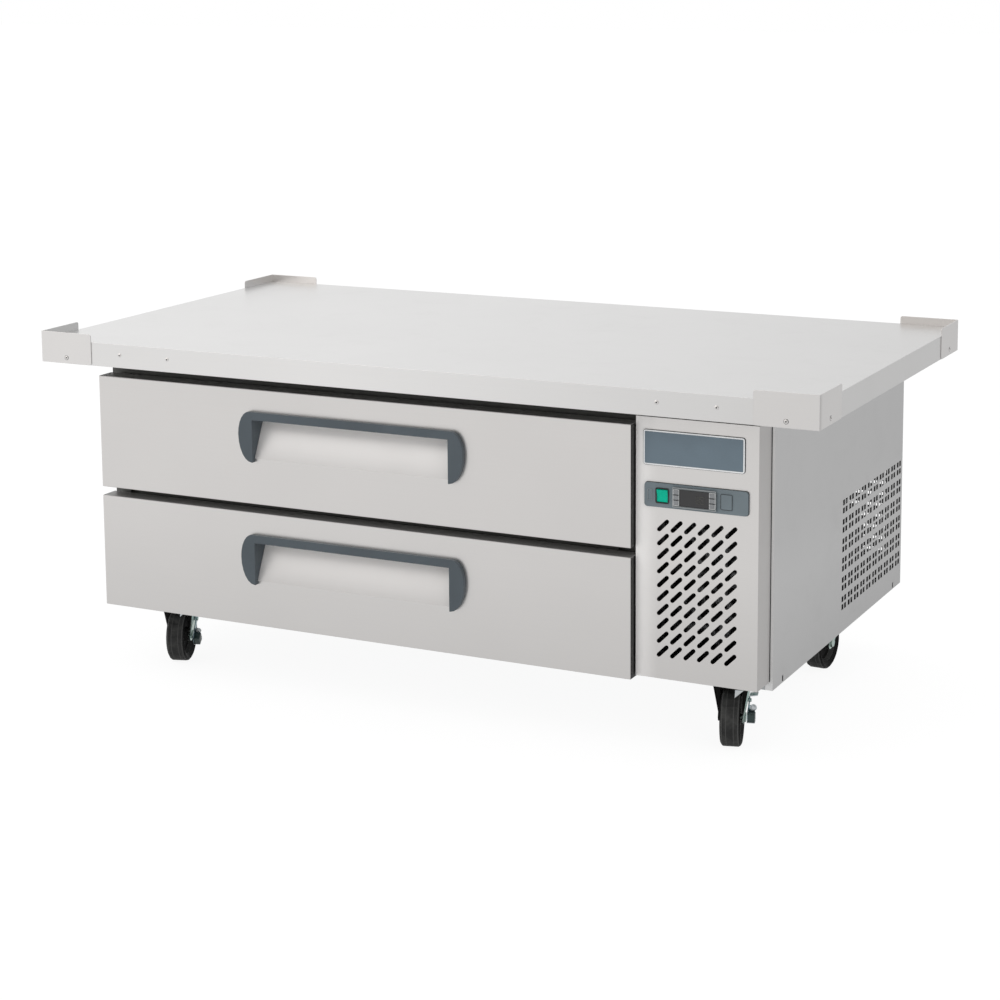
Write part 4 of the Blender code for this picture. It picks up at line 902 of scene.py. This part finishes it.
def makeGasketRibs(look):
    for drawer in ("upper", "lower"):
        low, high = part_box(drawer + "_drawer_gasket")
        work = bmesh.new()
        for share in look["ribs"]:
            level = low[1] + (high[1] - low[1]) * share
            start = (low[0] - look["rise"], level - look["half"], low[2] - look["rise"])
            end = (high[0] + look["rise"], level + look["half"], high[2] + look["rise"])
            addFrame(work, start, end, look["band"], look["corner"])
        vinyl = plastics["gasket_vinyl"]
        piece(drawer + "_gasket_ribs", work, vinyl, drawer + "_drawer", frameAngle)


makeGasketRibs(gasketLook)
print("gaskets ribbed")

# Casters: plate bolts, and the pads, webs and toe plates of the brake pedals

casterLook = {
    "boltPitch": (0.068, 0.076),
    "boltRadius": 0.0062,
    "boltDepth": 0.0048,
    "padNear": (0.001, -0.0405, -0.0255),
    "padFar": (0.0135, -0.0235, -0.0122),
    "padRound": 0.0009,
    "webLow": (0.001, -0.0245, -0.0125),
    "webHigh": (0.0125, -0.0228, -0.001),
    "webRound": 0.0004,
    "webBolt": (0.0098, -0.0244, -0.0045),
    "webBoltRadius": 0.0043,
    "webBoltDepth": 0.0035,
    "toeLow": (0.0, -0.0415, -0.0272),
    "toeHigh": (0.0137, -0.0255, -0.0259),
    "toeRound": 0.0003,
    "pressed": {"front_left": radians(30), "front_right": 0},
}
corners = ("front_left", "front_right", "rear_left", "rear_right")


def makeCasterBolts(look):
    pitchX, pitchY = look["boltPitch"]
    for corner in corners:
        low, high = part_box(corner + "_caster_plate")
        x, y = middle(low, high)[:2]
        work = bmesh.new()
        for sideX in (-1, 1):
            for sideY in (-1, 1):
                place = (x + sideX * pitchX / 2, y + sideY * pitchY / 2, low[2] + sunk)
                addBolt(work, place, (0, 0, -1), look["boltRadius"], look["boltDepth"])
        piece(corner + "_plate_bolts", work, brightZinc, "base")


makeCasterBolts(casterLook)


def pedalPlace(corner, look):
    # Local X is the pedal's pin; the block lies forward of it and below, turned down where it is pressed
    joint = joints[corner + "_brake"]
    pin = Vector(joint["axis"]).normalized()
    forward = Vector((pin.y, -pin.x, 0))
    basis = Matrix((pin, -forward, Vector((0, 0, 1)))).transposed().to_4x4()
    turned = Matrix.Rotation(look["pressed"][corner], 4, "X")
    return Matrix.Translation(joint["pos_m"]) @ basis @ turned


def makePedalPads(look):
    for corner in ("front_left", "front_right"):
        place = pedalPlace(corner, look)
        work = bmesh.new()
        addBox(work, look["padNear"], look["padFar"], look["padRound"], place)
        piece(corner + "_pedal_pad", work, plastics["pedal_plastic"], corner + "_pedal")
        # A zinc web with its bolt above the pad, and a bright toe plate beneath it
        work = bmesh.new()
        addBox(work, look["webLow"], look["webHigh"], look["webRound"], place)
        piece(corner + "_pedal_web", work, bracketZinc, corner + "_pedal")
        work = bmesh.new()
        addBox(work, look["toeLow"], look["toeHigh"], look["toeRound"], place)
        bolt = place @ Vector(look["webBolt"])
        ahead = place.to_3x3() @ Vector((0, -1, 0))
        addBolt(work, bolt, ahead, look["webBoltRadius"], look["webBoltDepth"])
        piece(corner + "_pedal_toe", work, brightZinc, corner + "_pedal")


makePedalPads(casterLook)

# Thread guards between the legs and the wheel, near black with little gloss so that they also paint the shade
# there, and the front casters' brake tongue and bracket
guardLook = {
    "inner": 0.0188,
    "outerTop": 0.0282,
    "outerLow": 0.0202,
    "low": 0.062,
    "top": 0.107,
    "front": -0.0515,
    "back": 0.031,
    "lowShare": 0.42,
    "lowShift": -0.022,
    "round": 0.0004,
    "tongue": ((0.0065, 0.0925), (0.0075, 0.107), (0.0225, 0.107)),
    "tongueFront": -0.0632,
    "tongueThick": 0.0012,
    "tongueRound": 0.0002,
    "bracketLow": (0.0312, -0.056, 0.0945),
    "bracketHigh": (0.0455, -0.038, 0.0962),
    "bracketTilt": radians(-9),
}


def forkPlace(corner):
    # Local X lies along the axle and the swivel axis is local Z, from the floor up
    axle = joints[corner + "_roll"]["axis"]
    x, y = joints[corner + "_swivel"]["pos_m"][:2]
    return Matrix.Translation((x, y, 0)) @ Matrix.Rotation(atan2(axle[1], axle[0]), 4, "Z")


def makeThreadGuards(look):
    start = (look["inner"], look["front"], look["low"])
    end = (look["outerTop"], look["back"], look["top"])
    middleX, middleY, middleZ = middle(start, end)
    for corner in corners:
        work = bmesh.new()
        for side in (-1, 1):
            part = bmesh.new()
            addBox(part, start, end)
            lower = [vert for vert in part.verts if vert.co.z < middleZ]
            outer = [vert for vert in lower if vert.co.x > middleX]
            # The lower edge is thinner and shorter, and lies further forward
            bmesh.ops.translate(part, vec=(look["outerLow"] - look["outerTop"], 0, 0), verts=outer)
            centre = Matrix.Translation((0, -middleY, 0))
            bmesh.ops.scale(part, vec=(1, look["lowShare"], 1), space=centre, verts=lower)
            bmesh.ops.translate(part, vec=(0, look["lowShift"], 0), verts=lower)
            rounded(part, part.edges, look["round"], 2)
            mirror = Matrix.Scale(side, 4, (1, 0, 0))
            bmesh.ops.transform(part, matrix=forkPlace(corner) @ mirror, verts=part.verts)
            merged(work, part)
        piece(corner + "_thread_guards", work, plastics["guard_black"], corner + "_fork")


def makeBrakeBrackets(look):
    for corner in ("front_left", "front_right"):
        place = forkPlace(corner)
        work = bmesh.new()
        front = look["tongueFront"]
        verts = [work.verts.new((x, front, z)) for x, z in look["tongue"]]
        plate = work.faces.new(verts)
        grown = bmesh.ops.extrude_face_region(work, geom=[plate])
        back = [item for item in grown["geom"] if isinstance(item, bmesh.types.BMVert)]
        bmesh.ops.translate(work, vec=(0, look["tongueThick"], 0), verts=back)
        rounded(work, work.edges, look["tongueRound"], 1)
        bmesh.ops.transform(work, matrix=place, verts=work.verts)
        low = Vector(look["bracketLow"])
        tilt = Matrix.Rotation(look["bracketTilt"], 4, "Y")
        tilted = place @ Matrix.Translation(low) @ tilt @ Matrix.Translation(-low)
        addBox(work, low, look["bracketHigh"], look["round"], tilted)
        piece(corner + "_brake_bracket", work, brightZinc, corner + "_fork")


makeThreadGuards(guardLook)
makeBrakeBrackets(guardLook)
print("caster fittings made")

# Rear panel screws

screwLook = {"radius": 0.0042, "rise": 0.0018, "inset": 0.012, "count": 4, "sunk": 0.00005}


def makeRearScrews(look):
    low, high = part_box("rear_panel")
    work = bmesh.new()
    radius = look["radius"]
    rise = look["rise"]
    head = [
        (0, 0), (radius, 0), (radius * 0.92, rise * 0.6), (radius * 0.55, rise),
        (radius * 0.3, rise), (radius * 0.18, rise * 0.4), (0, rise * 0.35),
    ]
    inset = look["inset"]
    pitch = (high[2] - low[2] - 2 * inset) / (look["count"] - 1)
    for x in (low[0] + inset, high[0] - inset):
        for step in range(look["count"]):
            place = (x, high[1] - look["sunk"], low[2] + inset + pitch * step)
            turn(work, head, facing(place, (0, 1, 0)), 14)
    piece("rear_screws", work, brightZinc, "base")


makeRearScrews(screwLook)

# Fins that stand just proud of the condenser block, seen through the louvres

finLook = {
    "pitch": 0.0032,
    "thick": 0.0004,
    "proud": 0.0012,
    "sunk": 0.0005,
    "fromLeft": 0.004,
    "fromRight": 0.02,
    "fromBottom": 0.016,
    "fromTop": 0.001,
}


def makeFins(look):
    low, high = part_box("condenser")
    bottom = low[2] + look["fromBottom"]
    top = high[2] - look["fromTop"]
    work = bmesh.new()
    x = low[0] + look["fromLeft"]
    while x < high[0] - look["fromRight"]:
        addBox(work, (x, low[1] - look["proud"], bottom), (x + look["thick"], low[1] + look["sunk"], top))
        x += look["pitch"]
    piece("condenser_fins", work, shadedFins, "base")


makeFins(finLook)
print("screws and fins made")

# Copper lines from the compressor to the condenser and through the cabinet's wall
lineLook = {
    "radius": 0.0032,
    "bend": 0.014,
    "arcSteps": 4,
    "ringSteps": 10,
    "discharge": (
        (0.512, 0.262, 0.285), (0.512, 0.262, 0.338), (0.472, 0.262, 0.338),
        (0.472, -0.2, 0.448), (0.472, -0.262, 0.448), (0.472, -0.262, 0.405),
    ),
    "suction": (
        (0.583, 0.262, 0.285), (0.583, 0.262, 0.392), (0.505, 0.262, 0.392),
        (0.445, 0.262, 0.392), (0.43, 0.262, 0.392),
    ),
}


def roundedPath(points, bend, steps):
    # The path's corners are turned into short arcs
    path = [Vector(points[0])]
    for before, corner, after in zip(points, points[1:], points[2:]):
        corner = Vector(corner)
        back = Vector(before) - corner
        ahead = Vector(after) - corner
        reach = min(bend, back.length * 0.45, ahead.length * 0.45)
        start = corner + back.normalized() * reach
        end = corner + ahead.normalized() * reach
        for step in range(steps + 1):
            share = step / steps
            path.append(start.lerp(corner, share).lerp(corner.lerp(end, share), share))
    path.append(Vector(points[-1]))
    return path


def addPipe(work, points, look):
    path = roundedPath(points, look["bend"], look["arcSteps"])
    part = bmesh.new()
    bmesh.ops.create_circle(
        part, cap_ends=True, segments=look["ringSteps"], radius=look["radius"],
        matrix=facing(path[0], path[1] - path[0]),
    )
    face = next(iter(part.faces))
    for before, here, after in zip(path, path[1:], path[2:] + [2 * path[-1] - path[-2]]):
        heading = (here - before).normalized()
        bisector = (heading + (after - here).normalized()).normalized()
        face = bmesh.ops.extrude_discrete_faces(part, faces=[face])["faces"][0]
        for vert in face.verts:
            # Slides each corner of the ring along the pipe on to the plane that halves the bend
            vert.co += heading * ((here - vert.co).dot(bisector) / heading.dot(bisector))
    bmesh.ops.holes_fill(part, edges=[edge for edge in part.edges if edge.is_boundary], sides=0)
    merged(work, part)


def makeLines(look):
    work = bmesh.new()
    for name in ("discharge", "suction"):
        addPipe(work, look[name], look)
    piece("copper_lines", work, copper, "base")


makeLines(lineLook)
print("copper lines made")

# Floor, world and lights

# The glossy values are what metal sees of the floor at the left front and at the right back,
# between two ends of a line across it that leans back by the slant
floorLook = {
    "size": 60.0,
    "colour": (0.90, 0.90, 0.90),
    "fibre": 0.99,
    "lift": 0.86,
    "glow": 1.06,
    "glossyLeft": 0.775,
    "glossyRight": 0.56,
    "leftEnd": -2.6,
    "rightEnd": 2.8,
    "slant": 0.6,
}


def makeFloor(look):
    work = bmesh.new()
    bmesh.ops.create_grid(work, x_segments=1, y_segments=1, size=look["size"] / 2)
    mesh = bpy.data.meshes.new("floor")
    work.to_mesh(mesh)
    work.free()
    floor = newObject("floor", mesh)
    material = bpy.data.materials.new("floor_paper")
    tree = emptyTree(material)
    output = tree.nodes.new("ShaderNodeOutputMaterial")
    paper = tree.nodes.new("ShaderNodeBsdfDiffuse")
    fibres = noise(tree, (700, 700, 700), detail=4)
    soft = blended(tree, fibres, tinted(look["colour"], look["fibre"]), look["colour"])
    tree.links.new(soft, paper.inputs["Color"])
    seen, kinds = rayKinds(tree)
    glossy = kinds["Is Glossy Ray"]
    leaning = combined(tree, "MULTIPLY", along(tree, "Object", "Y"), look["slant"])
    across = combined(tree, "ADD", along(tree, "Object", "X"), leaning)
    reflected = ranged(
        tree, across, look["leftEnd"], look["rightEnd"], look["glossyLeft"], look["glossyRight"],
    )
    level = tree.nodes.new("ShaderNodeMix")
    tree.links.new(glossy, level.inputs["Factor"])
    level.inputs["A"].default_value = look["glow"]
    tree.links.new(reflected, level.inputs["B"])
    glow = tree.nodes.new("ShaderNodeEmission")
    tree.links.new(level.outputs["Result"], glow.inputs["Strength"])
    lift = combined(tree, "MAXIMUM", combined(tree, "MULTIPLY", seen, look["lift"]), glossy)
    mix = tree.nodes.new("ShaderNodeMixShader")
    tree.links.new(lift, mix.inputs["Fac"])
    tree.links.new(paper.outputs["BSDF"], mix.inputs[1])
    tree.links.new(glow.outputs["Emission"], mix.inputs[2])
    tree.links.new(mix.outputs["Shader"], output.inputs["Surface"])
    mesh.materials.append(material)


makeFloor(floorLook)

# Radiance of the studio walls by direction: brighter to the left, warmer in front
worldLook = {
    "level": 0.66,
    "least": 0.15,
    "leftward": 0.44,
    "backward": 0.06,
    "plain": 0.84,
    "front": (1.0, 0.962, 0.925),
    "back": (1.0, 1.0, 1.0),
    "frontEnd": -0.5,
    "backEnd": 0.3,
}


def makeWorld(look):
    world = bpy.data.worlds.new("studio")
    bpy.context.scene.world = world
    tree = emptyTree(world)
    output = tree.nodes.new("ShaderNodeOutputWorld")
    background = tree.nodes.new("ShaderNodeBackground")
    tree.links.new(background.outputs["Background"], output.inputs["Surface"])
    x = along(tree, "Generated", "X")
    y = along(tree, "Generated", "Y")
    level = combined(
        tree, "ADD",
        combined(tree, "MULTIPLY", x, -look["leftward"]), combined(tree, "MULTIPLY", y, look["backward"]),
    )
    level = combined(tree, "MAXIMUM", combined(tree, "ADD", level, look["level"]), look["least"])
    warmth = ranged(tree, y, look["frontEnd"], look["backEnd"], 0, 1)
    walls = scaled(tree, blended(tree, warmth, look["front"], look["back"]), level)
    seen, kinds = rayKinds(tree)
    even = blended(tree, kinds["Is Diffuse Ray"], walls, (look["plain"],) * 3)
    shown = blended(tree, seen, even, (1.0, 1.0, 1.0))
    tree.links.new(shown, background.inputs["Color"])


makeWorld(worldLook)

lampAim = Vector((0, 0, 0.35))
lampLook = {
    "key": {"place": (-2.6, -3.4, 4.2), "size": 3.4, "power": 34},
    "fill": {"place": (3.6, -2.2, 2.8), "size": 3.0, "power": 8},
    "top": {"place": (0.2, 1.2, 4.6), "size": 4.0, "power": 22},
}


def makeLamps(look):
    for name, lamp in look.items():
        light = bpy.data.lights.new(name, "AREA")
        light.shape = "SQUARE"
        light.size = lamp["size"]
        light.energy = lamp["power"]
        holder = newObject(name, light)
        place = Vector(lamp["place"])
        holder.location = place
        holder.rotation_euler = (lampAim - place).to_track_quat("-Z", "Y").to_euler()


makeLamps(lampLook)
print("floor, world and lamps made")

# Camera, as the photograph was taken

cameraLook = {
    "place": (1.9033, -3.831, 1.3556),
    "turn": 26.5162,
    "down": 8.7091,
    "roll": -0.4284,
    "focalPixels": 2302.2,
    "middle": (498.25, 298.49),
    "picture": 1000,
}


def makeCamera(look):
    camera = bpy.data.cameras.new("camera")
    camera.sensor_width = 36
    camera.sensor_fit = "HORIZONTAL"
    camera.lens = look["focalPixels"] / look["picture"] * camera.sensor_width
    camera.shift_x = (look["picture"] / 2 - look["middle"][0]) / look["picture"]
    camera.shift_y = (look["middle"][1] - look["picture"] / 2) / look["picture"]
    camera.clip_end = 200
    yaw = radians(look["turn"])
    pitch = radians(look["down"])
    roll = radians(look["roll"])
    forward = Vector((-sin(yaw) * cos(pitch), cos(yaw) * cos(pitch), -sin(pitch)))
    right = Vector((cos(yaw), sin(yaw), 0))
    up = right.cross(forward)
    rolledRight = right * cos(roll) + up * sin(roll)
    rolledUp = up * cos(roll) - right * sin(roll)
    matrix = Matrix((rolledRight, rolledUp, -forward)).transposed().to_4x4()
    matrix.translation = Vector(look["place"])
    holder = newObject("camera", camera)
    holder.matrix_world = matrix
    bpy.context.scene.camera = holder


makeCamera(cameraLook)
bpy.context.scene.view_settings.view_transform = "Standard"
print("camera placed")
